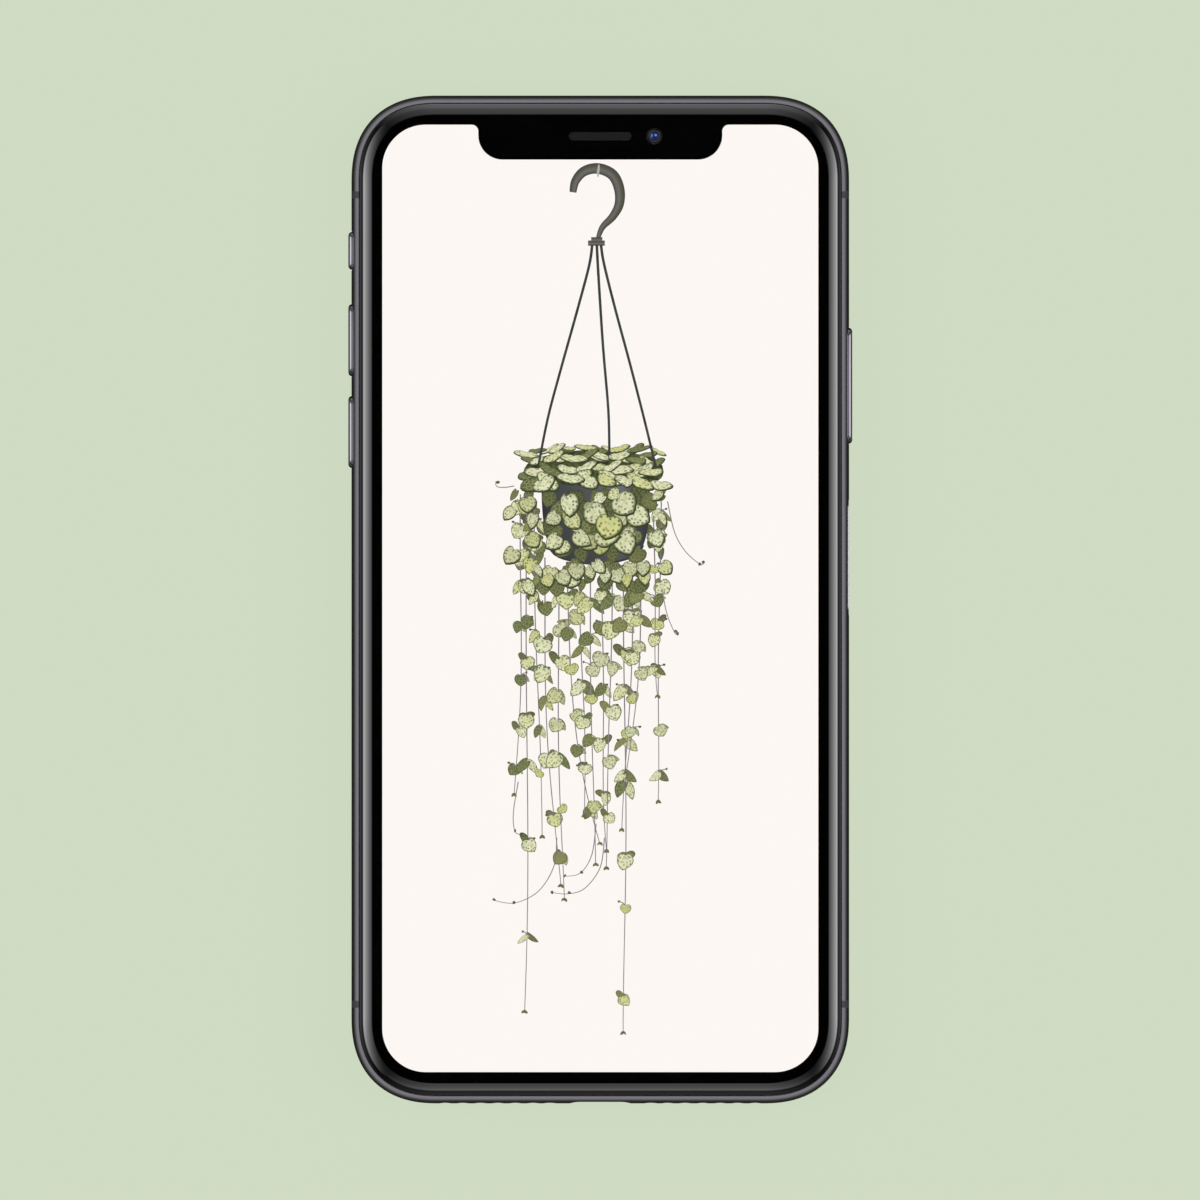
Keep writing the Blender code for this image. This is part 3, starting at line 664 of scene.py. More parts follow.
def moulded(name, colour, roughness, **inputs):
    """Moulded plastic with a fine spark-eroded texture."""
    return grained(
        name, colour, roughness, fine=7000, detail=5.0, shine=(roughness * 0.8, roughness * 1.2),
        tones=(colour, tuple(c * 1.5 for c in colour)), depth=0.000008, **inputs,
    )


black_plastic = moulded("moulded black plastic", (0.012, 0.012, 0.013), 0.5)
dress(black_plastic, "earpiece_speaker", "front_camera", "infrared_camera", "dot_projector")
dress(black_plastic, "ring_switch_base", "battery_connector", "loudspeaker", "charging_tongue")
dress(black_plastic, "main_camera", "zoom_camera")
dress(moulded("antenna carrier", (0.05, 0.05, 0.055), 0.5), "lower_antenna", "upper_antenna")


# The foot has a charging socket with a black tongue and gold contacts, two steel screws with
# six-lobed recesses, and woven mesh behind its speaker holes.
tongue_low, tongue_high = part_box("charging_tongue")
contact_pitch = 0.0005
contact_half = 0.00013
contact_deep = 0.00003
gold = grained(
    "gold contacts", (0.85, 0.60, 0.26), 0.22, 1.0,
    fine=6000, shine=(0.15, 0.32), depth=0.000002,
)
shape = bmesh.new()
for x in [contact_pitch * (i - 5.5) for i in range(12)]:
    for z in (tongue_low.z - contact_deep, tongue_high.z):
        low = (x - contact_half, tongue_low.y + 0.0004, z)
        high = (x + contact_half, tongue_low.y + 0.0034, z + contact_deep)
        rounded_block(shape, low, high, 2, 0.00005, 2)
make_piece("socket_contacts", shape, gold, "body")

screw_steel = satin_metal("screw steel", (0.42, 0.41, 0.44), 0.22)
screw_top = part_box("left_screw")[0].y
head_end = screw_top + 0.0008
shank_end = screw_top + 0.0026
head_radius, shank_radius, recess_radius = 0.00085, 0.00055, 0.0004
shape = bmesh.new()
for x in screw_places:
    rods(shape, (x,), head_radius, head_end, screw_top, segments=36)
    rods(shape, (x,), shank_radius, shank_end, head_end)
above = screw_top + 0.00001
head_rims = [edge for edge in shape.edges if max(vert.co.y for vert in edge.verts) < above]
bevel(shape, head_rims, 0.00008, 2)
screws = make_piece("foot_screws", shape, screw_steel, "body")
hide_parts("left_screw", "right_screw")
start, end = screw_top + 0.0004, screw_top - cutter_reach
recess = rods(bmesh.new(), screw_places, recess_radius, start, end, segments=36)
for vert in recess.verts:
    x = screw_places[0] if vert.co.x < 0 else screw_places[1]
    angle = math.atan2(vert.co.z - middle, vert.co.x - x)
    lobe = 0.80 + 0.20 * math.cos(6 * angle)
    vert.co.x = x + (vert.co.x - x) * lobe
    vert.co.z = middle + (vert.co.z - middle) * lobe
work(screws, recess)

woven = new_finish("woven speaker mesh", (0.03, 0.03, 0.032), 0.5, 0.6)
checks = {"Vector": on_object(woven), "Scale": 9000.0}
weave = add(woven, "ShaderNodeTexChecker", checks).outputs["Fac"]
relief(woven, weave, 0.00002)
tint(woven, weave, (0.012, 0.012, 0.013), (0.05, 0.05, 0.053))
mesh_start, mesh_end, mesh_half = 0.0085, 0.0232, 0.0011
shape = bmesh.new()
for side in (-1, 1):
    x = sorted((side * mesh_start, side * mesh_end))
    low = (x[0], foot + 0.00245, middle - mesh_half)
    high = (x[1], foot + 0.0026, middle + mesh_half)
    rounded_block(shape, low, high, 1, 0.0010, 6)
make_piece("speaker_mesh", shape, woven, "body")


# The keys are milled from the band's metal but drawn in a darker copy of it, painted shade that dims
# their highlights. Each has a cap that is rounded off all round its face. A flange holds each one in
# from behind, and a nub on it presses the dome on the switch board.
cap_round = 0.00054
joint = 0.0001
flange_outer = half_width - band_wall - 0.0001
flange_inner = flange_outer - 0.0004
nub_deep = 0.00015
nub_length = 0.0024
nub_height = 0.0014


def soften_rim(shape, side, amount, steps):
    """Rounds the rim of a side block's outer face, in a few steps."""
    face = max(shape.faces, key=lambda f: side * f.calc_center_median().x)
    bevel(shape, face.edges[:], amount, steps)
    return shape


# A darker copy of the band's metal: painted shade that dims the keys' highlights.
shaded_key_metal = satin_metal("key metal in painted shade", (0.10, 0.095, 0.11), 0.18)
for name, node, side, body in keys:
    low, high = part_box(node)
    y = (low.y + high.y) / 2
    length = high.y - low.y
    reach = max(abs(low.x), abs(high.x))
    height = key_height + 2 * flange_margin
    flange = side_block(bmesh.new(), side, flange_inner, flange_outer, y, length, height)
    key = make_piece(name, flange, shaded_key_metal, body)
    length -= 2 * flange_margin
    cap = side_block(bmesh.new(), side, flange_outer - joint, reach, y, length, key_height)
    work(key, soften_rim(cap, side, cap_round, 5), "UNION")
    start, end = flange_inner - nub_deep, flange_inner + joint
    work(key, side_block(bmesh.new(), side, start, end, y, nub_length, nub_height), "UNION")
    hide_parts(node)


# The ring switch is a small slider in a taller slot. When it is pushed to the back it
# uncovers an orange mark, painted on the switch's base behind it.
start = flange_outer - 0.0003
length, height = ring_high.y - ring_low.y, ring_high.z - ring_low.z
z = (ring_low.z + ring_high.z) / 2
flange = side_block(bmesh.new(), -1, start, flange_outer, ring_y, length, height, z)
# The slider's cap is in the keys' darker metal, painted shade that dims its highlights.
slider = make_piece("ring_slider_cap", flange, shaded_key_metal, "ring_slider")
start, end = flange_outer - joint, -ring_low.x
z = middle + ring_travel / 2
cap = side_block(bmesh.new(), -1, start, end, ring_y, ring_length, ring_height, z)
work(slider, soften_rim(cap, -1, cap_round, 5), "UNION")
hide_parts("ring_switch")

signal = grained(
    "signal orange", (0.80, 0.16, 0.02), 0.5,
    fine=3000, tones=((0.74, 0.13, 0.015), (0.88, 0.22, 0.04)),
)
mark_half = 0.0025
mark_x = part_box("ring_switch_base")[0].x
low, high = (mark_x - 0.00003, ring_y - mark_half, 0.0043), (mark_x, ring_y + mark_half, 0.0053)
shape = rounded_block(bmesh.new(), low, high, 0, 0.0002, 3)
make_piece("silent_mark", shape, signal, "body")


# The SIM tray is a milled metal frame behind a face that sits flush in the band. It has a
# hole for the eject pin, and the card lies in its well with its contacts down.
bed_half = 0.0069
bed_height = 0.0012
face_x = half_width - 0.0016
well_gap = 0.0001
window_in_x, window_in_y = 0.0011, 0.0014
pin_y = tray_y + 0.00745
pad_pitch_x, pad_pitch_y = 0.0024, 0.0038
pad_half_x, pad_half_y = 0.0010, 0.0013
low = (tray_low.x, tray_y - bed_half, middle - bed_height / 2)
high = (face_x + joint, tray_y + bed_half, middle + bed_height / 2)
shape = rounded_block(bmesh.new(), low, high, 0, 0.0003, 3)
tray_metal = satin_metal("tray metal", (0.235, 0.225, 0.255), 0.25)
bed = make_piece("tray_bed", shape, tray_metal, "tray")
card_low, card_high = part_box("sim_card")
low = card_low - Vector((well_gap, well_gap, well_gap))
high = (card_high.x + well_gap, card_high.y + well_gap, 0.006)
work(bed, rounded_block(bmesh.new(), low, high, 2, 0))
low = (card_low.x + window_in_x, card_low.y + window_in_y, 0.0)
high = (card_high.x - window_in_x, card_high.y - window_in_y, middle)
work(bed, rounded_block(bmesh.new(), low, high, 2, 0.0005, 4))
height = tray_high.z - tray_low.z
shape = side_block(bmesh.new(), 1, face_x, tray_high.x, tray_y, tray_length, height)
shape = soften_rim(shape, 1, 0.0001, 3)
tray_face = make_piece("tray_face", shape, tray_metal, "tray")
work(tray_face, bar(bmesh.new(), (half_width, pin_y, middle), "Y", 0.003, 0.0004))
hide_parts("sim_tray")
dress(moulded("card plastic", (0.62, 0.63, 0.66), 0.4), "sim_card")
pads = bmesh.new()
for i in range(3):
    for j in (-1, 1):
        x = card_low.x + 0.0026 + pad_pitch_x * i
        y = tray_y + pad_pitch_y / 2 * j
        low = (x - pad_half_x, y - pad_half_y, card_low.z - contact_deep)
        high = (x + pad_half_x, y + pad_half_y, card_low.z)
        rounded_block(pads, low, high, 2, 0.0003, 3)
make_piece("card_contacts", pads, gold, "tray")


# A black seal runs round under the edge of the cover glass, and the display panel lies on
# the ledge inside it. Black print on the glass hides all but the lit area.
seal = grained(
    "black seal", (0.002, 0.002, 0.002), 0.6,
    fine=9000, detail=4.0, shine=(0.5, 0.75), depth=0.00001, Specular_IOR_Level=0.1,
)
dress(seal, "display_gasket")
print_black = grained(
    "black print", (0.0008, 0.0008, 0.0008), 0.4,
    fine=20000, detail=2.0, shine=(0.3, 0.5), Specular_IOR_Level=0.0,
)
dress(print_black, "black_mask", "display_panel")


# The lit layer has the display's own outline, with round corners and a notch. Its ground is
# an even off-white, and the picture on it is made of thin shapes that lie over each other.
screen_low, screen_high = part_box("screen_layer")
screen_corner = 0.0062
notch_half = 0.0174
notch_depth = 0.00498
notch_round = 0.00343
notch_fillet = 0.00096
ground_top = 0.00672
light_strength = 1.0114


def display_colour(red, green, blue):
    """The linear colour of a value on a display, each part from 0 to 255."""
    shares = [value / 255 for value in (red, green, blue)]
    return tuple(s / 12.92 if s < 0.04045 else ((s + 0.055) / 1.055) ** 2.4 for s in shares)


def lit_finish(name):
    """A finish that only gives light, with a little added for what the cover glass takes."""
    return new_finish(name, (0, 0, 0), 0.5, Specular_IOR_Level=0.0, Emission_Strength=light_strength)


def lit_blend(made, share, *tones):
    """Lights a finish with a mix of two tones, each an output or a value on the display."""
    pair = [t if isinstance(t, bpy.types.NodeSocket) else display_colour(*t) for t in tones]
    mixed = blend_colours(made, share, *pair)
    feed(made, Emission_Color=mixed)
    return mixed


def lit_patches(name, fine, dark, light):
    """A lit finish in patches of two tones."""
    made = lit_finish(name)
    lit_blend(made, grain(made, fine, 2.0), dark, light)
    return made


def round_corners(shape, test, radius, steps=14):
    """Rounds the corners of a flat face that pass a test."""
    bevel(shape, [vert for vert in shape.verts if test(vert.co)], radius, steps, "VERTICES")


def flat_face(outline, height):
    """A shape that is one flat face."""
    shape = bmesh.new()
    shape.faces.new([shape.verts.new((x, y, height)) for x, y in outline])
    return shape


lit_ground = lit_patches("lit ground", 30, (252, 247, 242), (252, 247, 243))
right, top, notch_y = screen_high.x, screen_high.y, screen_high.y - notch_depth
outline = [(-right, screen_low.y), (right, screen_low.y), (right, top), (notch_half, top)]
outline += [(notch_half, notch_y), (-notch_half, notch_y), (-notch_half, top), (-right, top)]
shape = flat_face(outline, screen_low.z)
tiny = 0.00001
at_notch = lambda co: abs(abs(co.x) - notch_half) < tiny
round_corners(shape, lambda co: abs(co.x) > right - tiny, screen_corner, 24)
round_corners(shape, lambda co: at_notch(co) and co.y > top - tiny, notch_fillet)
round_corners(shape, lambda co: at_notch(co) and co.y < notch_y + tiny, notch_round)
draw_in(shape, next(iter(shape.faces)), 0.0, ground_top - screen_low.z)
close(shape)
piece = make_piece("lit_ground", shape, lit_ground, "body")
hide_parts("screen_layer")


# The picture shows a plant in a hanging pot. Its shapes are flat sheets, and each lies one
# level above the highest sheet that it overlaps, so the whole picture stays under the glass.
level_step = 0.0000045
sheet_deep = 0.0000010
mm = 0.001
laid = []


def next_level(spots):
    """The height for a sheet that covers round spots of (x, y, reach)."""
    level = 0
    for x, y, reach in spots:
        for other_x, other_y, other_reach, other_level in laid:
            if other_level > level:
                gap = reach + other_reach
                if (x - other_x) ** 2 + (y - other_y) ** 2 < gap * gap:
                    level = other_level
    level += 1
    laid.extend((x, y, reach, level) for x, y, reach in spots)
    return ground_top + level_step * level


def curve_points(points, steps):
    """Points on a smooth curve through the given ones."""
    padded = [points[0]] + list(points) + [points[-1]]
    path = []
    for a, b, c, d in zip(padded, padded[1:], padded[2:], padded[3:]):
        a, b, c, d = Vector(a), Vector(b), Vector(c), Vector(d)
        for i in range(steps):
            t = i / steps
            bend = 2 * a - 5 * b + 4 * c - d
            twist = 3 * b - a - 3 * c + d
            path.append(0.5 * (2 * b + (c - a) * t + bend * t * t + twist * t ** 3))
    path.append(Vector(points[-1]))
    return path


def ribbon(shape, path, widths):
    """Adds a flat strip along points in millimetres. Its own map runs along it and across it."""
    uv = shape.loops.layers.uv.get("leaf") or shape.loops.layers.uv.new("leaf")
    path = [Vector(point) for point in path]
    last = len(path) - 1
    height = next_level([(p.x * mm, p.y * mm, width * mm / 2) for p, width in zip(path, widths)])
    verts = bmesh.ops.create_grid(shape, x_segments=last, y_segments=1, size=1.0)["verts"]
    on_map = {}
    for i, (point, width) in enumerate(zip(path, widths)):
        along = (path[min(i + 1, last)] - path[max(i - 1, 0)]).normalized()
        across = Vector((-along.y, along.x)) * width / 2
        for side, spot in enumerate((point + across, point - across)):
            vert = verts[i + (last + 1) * side]
            vert.co = (*(spot * mm), height)
            on_map[vert] = (i / last, side)
    for face in {face for vert in verts for face in vert.link_faces}:
        for loop in face.loops:
            loop[uv].uv = on_map[loop.vert]


def picture_piece(name, shape, finish):
    """Gives flat shapes a thin body and makes a piece of them."""
    bmesh.ops.recalc_face_normals(shape, faces=shape.faces)
    for face in shape.faces:
        if face.normal.z < 0:
            face.normal_flip()
    bmesh.ops.solidify(shape, geom=shape.faces[:], thickness=sheet_deep)
    make_piece(name, shape, finish, "body")


# Each leaf is a small disc bent to a round heart. It is pale and speckled with a dark rim,
# or olive with pale veins where its back shows, and some lie in the shade of others.
chance = random.Random(27)
leaf_sides = 16
shade_shift = (0.06, -0.10)
shade_size = 1.06
leaf_finish = lit_finish("picture of leaves")
tone = add(leaf_finish, "ShaderNodeVertexColor", layer_name="tone")
parts = add(leaf_finish, "ShaderNodeSeparateColor", {"Color": tone.outputs["Color"]})
olive, yellow, out = (parts.outputs[name] for name in ("Red", "Green", "Blue"))
leaf_uv = add(leaf_finish, "ShaderNodeUVMap", uv_map="leaf").outputs["UV"]


def reckon(made, how, *values, kind="ShaderNodeMath", output=0):
    """One step of arithmetic in a finish or in the light."""
    return add(made, kind, dict(enumerate(values)), operation=how).outputs[output]


def leaf_cells(inputs, **settings):
    """Cells on a leaf's own map, by the distance from their middles or edges."""
    inputs = {"Vector": leaf_uv, **inputs}
    kind = "ShaderNodeTexVoronoi"
    return add(leaf_finish, kind, inputs, voronoi_dimensions="2D", **settings).outputs["Distance"]


cells = leaf_cells({"Scale": 2.9, "Randomness": 0.85})
veins = leaf_cells({"Scale": 2.6}, feature="DISTANCE_TO_EDGE")
clouds = {"Vector": leaf_uv, "Scale": 2.4, "Detail": 3.0}
clouds = add(leaf_finish, "ShaderNodeTexNoise", clouds, noise_dimensions="2D").outputs["Fac"]
clouds = spread(leaf_finish, clouds, 0.0, 0.8, 0.42, 0.70)
outer = spread(leaf_finish, out, 0.25, 1.0, 0.15, 0.65)
specks = spread(leaf_finish, cells, 0.90, 0.0, 0.15, 0.34)
specks = reckon(leaf_finish, "MULTIPLY", specks, outer)
pale = lit_blend(leaf_finish, yellow, (236, 238, 202), (217, 218, 142))
pale = lit_blend(leaf_finish, clouds, pale, (201, 207, 146))
pale = lit_blend(leaf_finish, specks, pale, (88, 97, 60))
backs = lit_blend(leaf_finish, yellow, (102, 109, 69), (134, 136, 86))
vein = spread(leaf_finish, veins, 0.65, 0.0, 0.02, 0.15)
backs = lit_blend(leaf_finish, vein, backs, (168, 174, 124))
tones = lit_blend(leaf_finish, olive, pale, backs)
rim = spread(leaf_finish, out, 0.0, 0.8, 0.83, 0.95)
tones = lit_blend(leaf_finish, rim, tones, (84, 92, 59))
lit_blend(leaf_finish, tone.outputs["Alpha"], tones, (42, 48, 31))
leaves = bmesh.new()
leaf_map = leaves.loops.layers.uv.new("leaf")
leaf_tone = leaves.loops.layers.float_color.new("tone")


def leaf_form():
    """How far a leaf's one half is folded in, which half that is, and how the leaf is bent."""
    fold = chance.choice((1.0, 1.0, chance.uniform(0.35, 0.8)))
    return fold, chance.choice((-1, 1)), chance.uniform(-0.2, 0.2)


def add_leaf(x, y, size, turn=0.0, wide=1.0, tall=1.0, back=0.0, shade=0.0, sun=None, form=None):
    """Adds a leaf that hangs from a point in millimetres, turned by degrees and seen aslant."""
    sun = chance.random() ** 3 if sun is None else sun
    fold, folded_side, bend = form or leaf_form()
    seed = Vector((chance.uniform(0, 50), chance.uniform(0, 50)))
    spin = Matrix.Rotation(math.radians(turn), 2)
    middle_of_leaf = Vector((x, y)) + spin @ Vector((0, -0.5 * tall * size / 2))
    reach = size / 2 * max(wide, tall)
    height = next_level([(middle_of_leaf.x * mm, middle_of_leaf.y * mm, reach * mm)])
    made = bmesh.ops.create_circle(
        leaves, cap_ends=True, cap_tris=True, segments=leaf_sides, radius=1.0
    )
    local = {}
    for vert in made["verts"]:
        out = min(vert.co.xy.length, 1.0)
        angle = math.atan2(vert.co.x, vert.co.y)
        notch = 0.36 * math.exp(-((angle / 0.33) ** 2)) if out else 0.0
        tip = 0.20 * math.exp(-(((math.pi - abs(angle)) / 0.42) ** 2))
        flat = Vector((math.sin(angle), math.cos(angle) * 0.84 - notch - tip)) * out
        local[vert] = (flat, out)
    for vert, (flat, out) in local.items():
        across = flat.x * wide * (fold if flat.x * folded_side > 0 else 1.0)
        seen = Vector((across + bend * flat.y ** 2, (flat.y - 0.50) * tall))
        spot = Vector((x, y)) + spin @ seen * size / 2
        vert.co = (spot.x * mm, spot.y * mm, height)
    for face in {face for vert in made["verts"] for face in vert.link_faces}:
        for loop in face.loops:
            flat, out = local[loop.vert]
            loop[leaf_map].uv = seed + flat
            loop[leaf_tone] = (back, sun, out, min(1.0, shade + 0.09 * (1 + flat.y)))


def shaded_leaf(x, y, size, turn=0.0, wide=1.0, tall=1.0, back=0.0, sun=None):
    """Adds a leaf with its own shade on what lies behind it."""
    form = leaf_form()
    shade_x, shade_y = x + shade_shift[0], y + shade_shift[1]
    add_leaf(shade_x, shade_y, size * shade_size, turn, wide, tall, 1.0, 0.75, 0.0, form)
    add_leaf(x, y, size, turn, wide, tall, back, 0.0, sun, form)


def spaced(count, x_range, y_range, apart):
    """Random points in millimetres that keep apart from each other."""
    found = []
    for _ in range(count * 30):
        point = Vector((chance.uniform(*x_range), chance.uniform(*y_range)))
        if len(found) < count and all((point - other).length > apart for other in found):
            found.append(point)
    return found


def scatter(count, x_range, y_range, apart, sizes, turn, widths, shares, front=False):
    """Adds single leaves over an area in millimetres.

    They are seen from behind, with shares of shade, or from the front, with shares of olive.
    """
    for point in spaced(count, x_range, y_range, apart):
        size, lean, wide = chance.uniform(*sizes), chance.uniform(-turn, turn), chance.uniform(*widths)
        share = chance.uniform(*shares)
        if front:
            shaded_leaf(point.x, point.y, size, lean, wide, 0.95, share)
        else:
            add_leaf(point.x, point.y, size, lean, wide, 1.0, 1.0, share)


# Thin violet-grey stems hang down from the pot. Each has pairs of leaves, which stand further
# apart towards its end, and fine tendrils with buds.
stem_finish = lit_patches("picture of stems", 500, (96, 88, 94), (158, 150, 154))
stems = bmesh.new()


def add_stem(path, width=0.19):
    """Adds a stem along points in millimetres, thinner towards its end."""
    count = len(path)
    ribbon(stems, path, [width * (1 - 0.4 * i / count) for i in range(count)])


def leaf_pair(x, y, size):
    """Adds the two leaves and the fine shoots at one node of a stem."""
    kind = chance.random()
    if kind < 0.38:
        lean = chance.uniform(-30, 30)
        add_leaf(x, y + 0.4, size, -lean * 1.5, 0.95, 0.55, 1.0, chance.uniform(0.0, 0.35))
        add_leaf(x, y, size * 1.05, lean, chance.uniform(0.8, 1.0), chance.uniform(0.8, 1.0))
    elif kind < 0.68:
        lean = chance.uniform(22, 52)
        back = float(chance.random() < 0.5)
        add_leaf(x, y, size * 1.1, lean, chance.uniform(0.3, 0.55), 1.05, back, 0.1)
        add_leaf(x, y, size * 1.1, -lean, chance.uniform(0.4, 0.75), 1.0, 1.0 - back)
    elif kind < 0.90:
        lean = chance.uniform(-45, 45)
        add_leaf(x, y, size * 0.95, lean + 60, 0.4, 0.9, 0.5)
        add_leaf(x, y, size, lean, chance.uniform(0.7, 1.0), 0.9, chance.choice((0.2, 1.0)))
    else:
        add_leaf(x, y, size * 0.8, chance.uniform(-60, 60), 0.9, 0.8, 0.1, 0.0, 0.95)
    if chance.random() < 0.40:
        side = chance.choice((-1, 1))
        tip = Vector((x + side * chance.uniform(0.5, 1.1), y + chance.uniform(-0.1, 0.5)))
        add_stem([Vector((x, y)), (Vector((x, y)) + tip) / 2 + Vector((0, 0.12)), tip], 0.16)
        add_leaf(tip.x, tip.y + 0.15, 0.42, 0, 1, 1, 1.0, 0.5)


def trailing_stem(x, top, bottom, drift, first_gap, size):
    """Adds a stem that hangs from top to bottom, with its leaf pairs."""
    sway = chance.uniform(0.15, 0.55)
    phase = chance.uniform(0, 6)

    def place(t):
        aside = drift * t * t + sway * math.sin(phase + 5 * t) * t
        return Vector((x + aside, top + (bottom - top) * t))

    count = max(8, int((top - bottom) / 1.8))
    add_stem([place(i / count) for i in range(count + 1)])
    y = top - first_gap * chance.uniform(0.3, 1.0)
    gap = first_gap
    while y > bottom + 2.5:
        t = (top - y) / (top - bottom)
        node = place(t)
        leaf_pair(node.x, node.y, size * (1.0 - 0.25 * t) * chance.uniform(0.85, 1.1))
        y -= gap * chance.uniform(0.7, 1.35)
        gap *= 1.14
    tip = place(1)
    for lean in (-50, 40):
        add_leaf(tip.x, tip.y + 0.3, 0.75, lean + chance.uniform(-15, 15), 0.55, 1.0, 1.0, 0.2)


scatter(17, (-12.2, -8.4), (-0.5, 17.0), 1.4, (2.0, 2.8), 60, (0.4, 0.9), (0.1, 0.5))
scatter(8, (7.6, 9.4), (4.0, 17.0), 1.5, (1.8, 2.5), 60, (0.4, 0.9), (0.1, 0.5))
for hanging in (
    (-11.4, 15.0, -28.0, -0.5, 3.4, 2.9),
    (-10.5, 15.0, -59.0, -0.3, 3.6, 2.9),
    (-9.4, 14.0, -34.0, 1.1, 3.5, 2.9),
    (-7.9, 6.0, -41.0, 1.8, 3.7, 3.1),
    (-5.9, 4.0, -43.0, 0.4, 3.9, 3.3),
    (-4.7, 4.0, -35.0, 4.4, 4.4, 3.0),
    (8.7, 14.0, -29.0, -0.9, 4.0, 2.7),
    (7.6, 12.0, -14.0, 0.9, 3.8, 2.6),
):
    trailing_stem(*hanging)


# The pot is a dark grey moulded bowl, with a darker line round its foot that is one piece with
# the wires. Leaves cover most of its face, and its rim is hidden under the plant's crown.
pot_grey = lit_finish("picture of a pot")


def colour_run(made, value, stops):
    """Runs through display colours. Stops are (share, colour), the first at 0, the last at 1."""
    node = add(made, "ShaderNodeValToRGB", {"Fac": value})
    elements = node.color_ramp.elements
    elements[0].color = (*display_colour(*stops[0][1]), 1)
    elements[1].color = (*display_colour(*stops[-1][1]), 1)
    for share, colour in stops[1:-1]:
        elements.new(share).color = (*display_colour(*colour), 1)
    return node.outputs["Color"]


spot = add(pot_grey, "ShaderNodeSeparateXYZ", {"Vector": on_object(pot_grey)})
across = spread(pot_grey, spot.outputs["X"], 0.0, 1.0, -8.6 * mm, 7.2 * mm)
stops = [(0, (46, 48, 50)), (0.15, (70, 72, 76)), (0.5, (84, 86, 90)), (0.7, (112, 114, 119))]
sides = colour_run(pot_grey, across, stops + [(0.85, (80, 82, 86)), (1, (52, 54, 57))])
down = spread(pot_grey, spot.outputs["Y"], 0.55, 0.0, 5.2 * mm, 14.0 * mm)
lit_blend(pot_grey, down, sides, (46, 48, 51))
height = next_level([(-0.0007, 0.0115, 0.0088)])
bowl = [(-8.4, 17.5), (-8.3, 13.0), (-7.8, 9.2), (-6.6, 6.5), (-3.6, 5.4), (-0.6, 5.1)]
bowl += [(2.8, 5.5), (5.4, 6.6), (6.6, 9.2), (7.0, 13.0), (7.1, 17.5)]
bowl_path = curve_points(bowl, 4)
shape = flat_face([(point.x * mm, point.y * mm) for point in bowl_path], height)
picture_piece("picture_pot", shape, pot_grey)
wires = bmesh.new()
ribbon(wires, bowl_path[11:31], [0.30] * 20)

for hanging in (
    (-2.9, 3.0, -31.0, 1.0, 4.0, 3.1),
    (-1.4, 2.5, -38.0, 0.6, 4.4, 2.9),
    (0.2, 2.5, -36.0, 1.0, 4.2, 2.9),
    (1.7, 2.5, -38.5, -1.2, 4.6, 3.1),
    (3.3, 3.0, -62.0, 0.5, 4.4, 3.1),
    (4.6, 3.5, -33.0, -1.4, 4.0, 3.0),
    (5.8, 4.0, -25.0, -1.8, 4.2, 2.9),
):
    trailing_stem(*hanging)
for group in (
    (17, (-8.4, 7.0), (2.4, 5.4), 1.1, (2.2, 3.0), 40, (0.7, 1.0), (0.0, 0.35)),
    (13, (-8.0, 7.4), (3.4, 5.4), 1.3, (2.4, 3.1), 40, (0.7, 1.0), (0.0, 0.35), True),
    (32, (-7.6, 6.4), (7.2, 16.0), 1.3, (2.5, 3.3), 70, (0.7, 1.0), (0.0, 0.5)),
    (13, (-6.6, 5.8), (8.2, 15.4), 2.0, (2.3, 3.0), 80, (0.6, 1.0), (0.0, 0.5), True),
    (11, (-6.2, 5.4), (8.6, 15.0), 2.6, (3.2, 4.5), 75, (0.75, 1.0), (0.0, 0.15), True),
    (7, (-12.4, -9.4), (1.0, 16.0), 2.3, (2.5, 3.2), 50, (0.55, 0.95), (0.0, 0.3), True),
    (4, (7.6, 9.6), (5.0, 16.0), 2.6, (2.4, 3.0), 50, (0.55, 0.95), (0.0, 0.3), True),
):
    scatter(*group)


# The crown is a mat of leaves seen nearly edge-on, row in front of row, with deep shade
# between them. The three wires come down into it from the hook's collar.
wire_dark = lit_patches("picture of wires", 700, (38, 40, 40), (78, 80, 80))
crown_shade = lit_finish("picture of shade in the crown")
tangle = spread(crown_shade, grain(crown_shade, 1100), 0.0, 1.0, 0.38, 0.62)
lit_blend(crown_shade, tangle, (48, 54, 34), (88, 96, 60))


def crown_row(count, y, bulge, long_range, tall_range, tilt, back_share):
    """Adds a row of leaves that lie along the crown, in random order."""
    places = list(range(count))
    chance.shuffle(places)
    for i in places:
        x = -11.0 + 20.0 * (i + chance.uniform(0.1, 0.9)) / count
        lift = bulge * (1 - ((x + 1.0) / 11.0) ** 2)
        size = chance.uniform(*long_range)
        tall = chance.uniform(*tall_range) / size
        back = float(chance.random() < back_share)
        leaf_y = y + lift + chance.uniform(-0.3, 0.3)
        shaded_leaf(x, leaf_y, size, chance.uniform(-tilt, tilt), 1.0, tall, back)


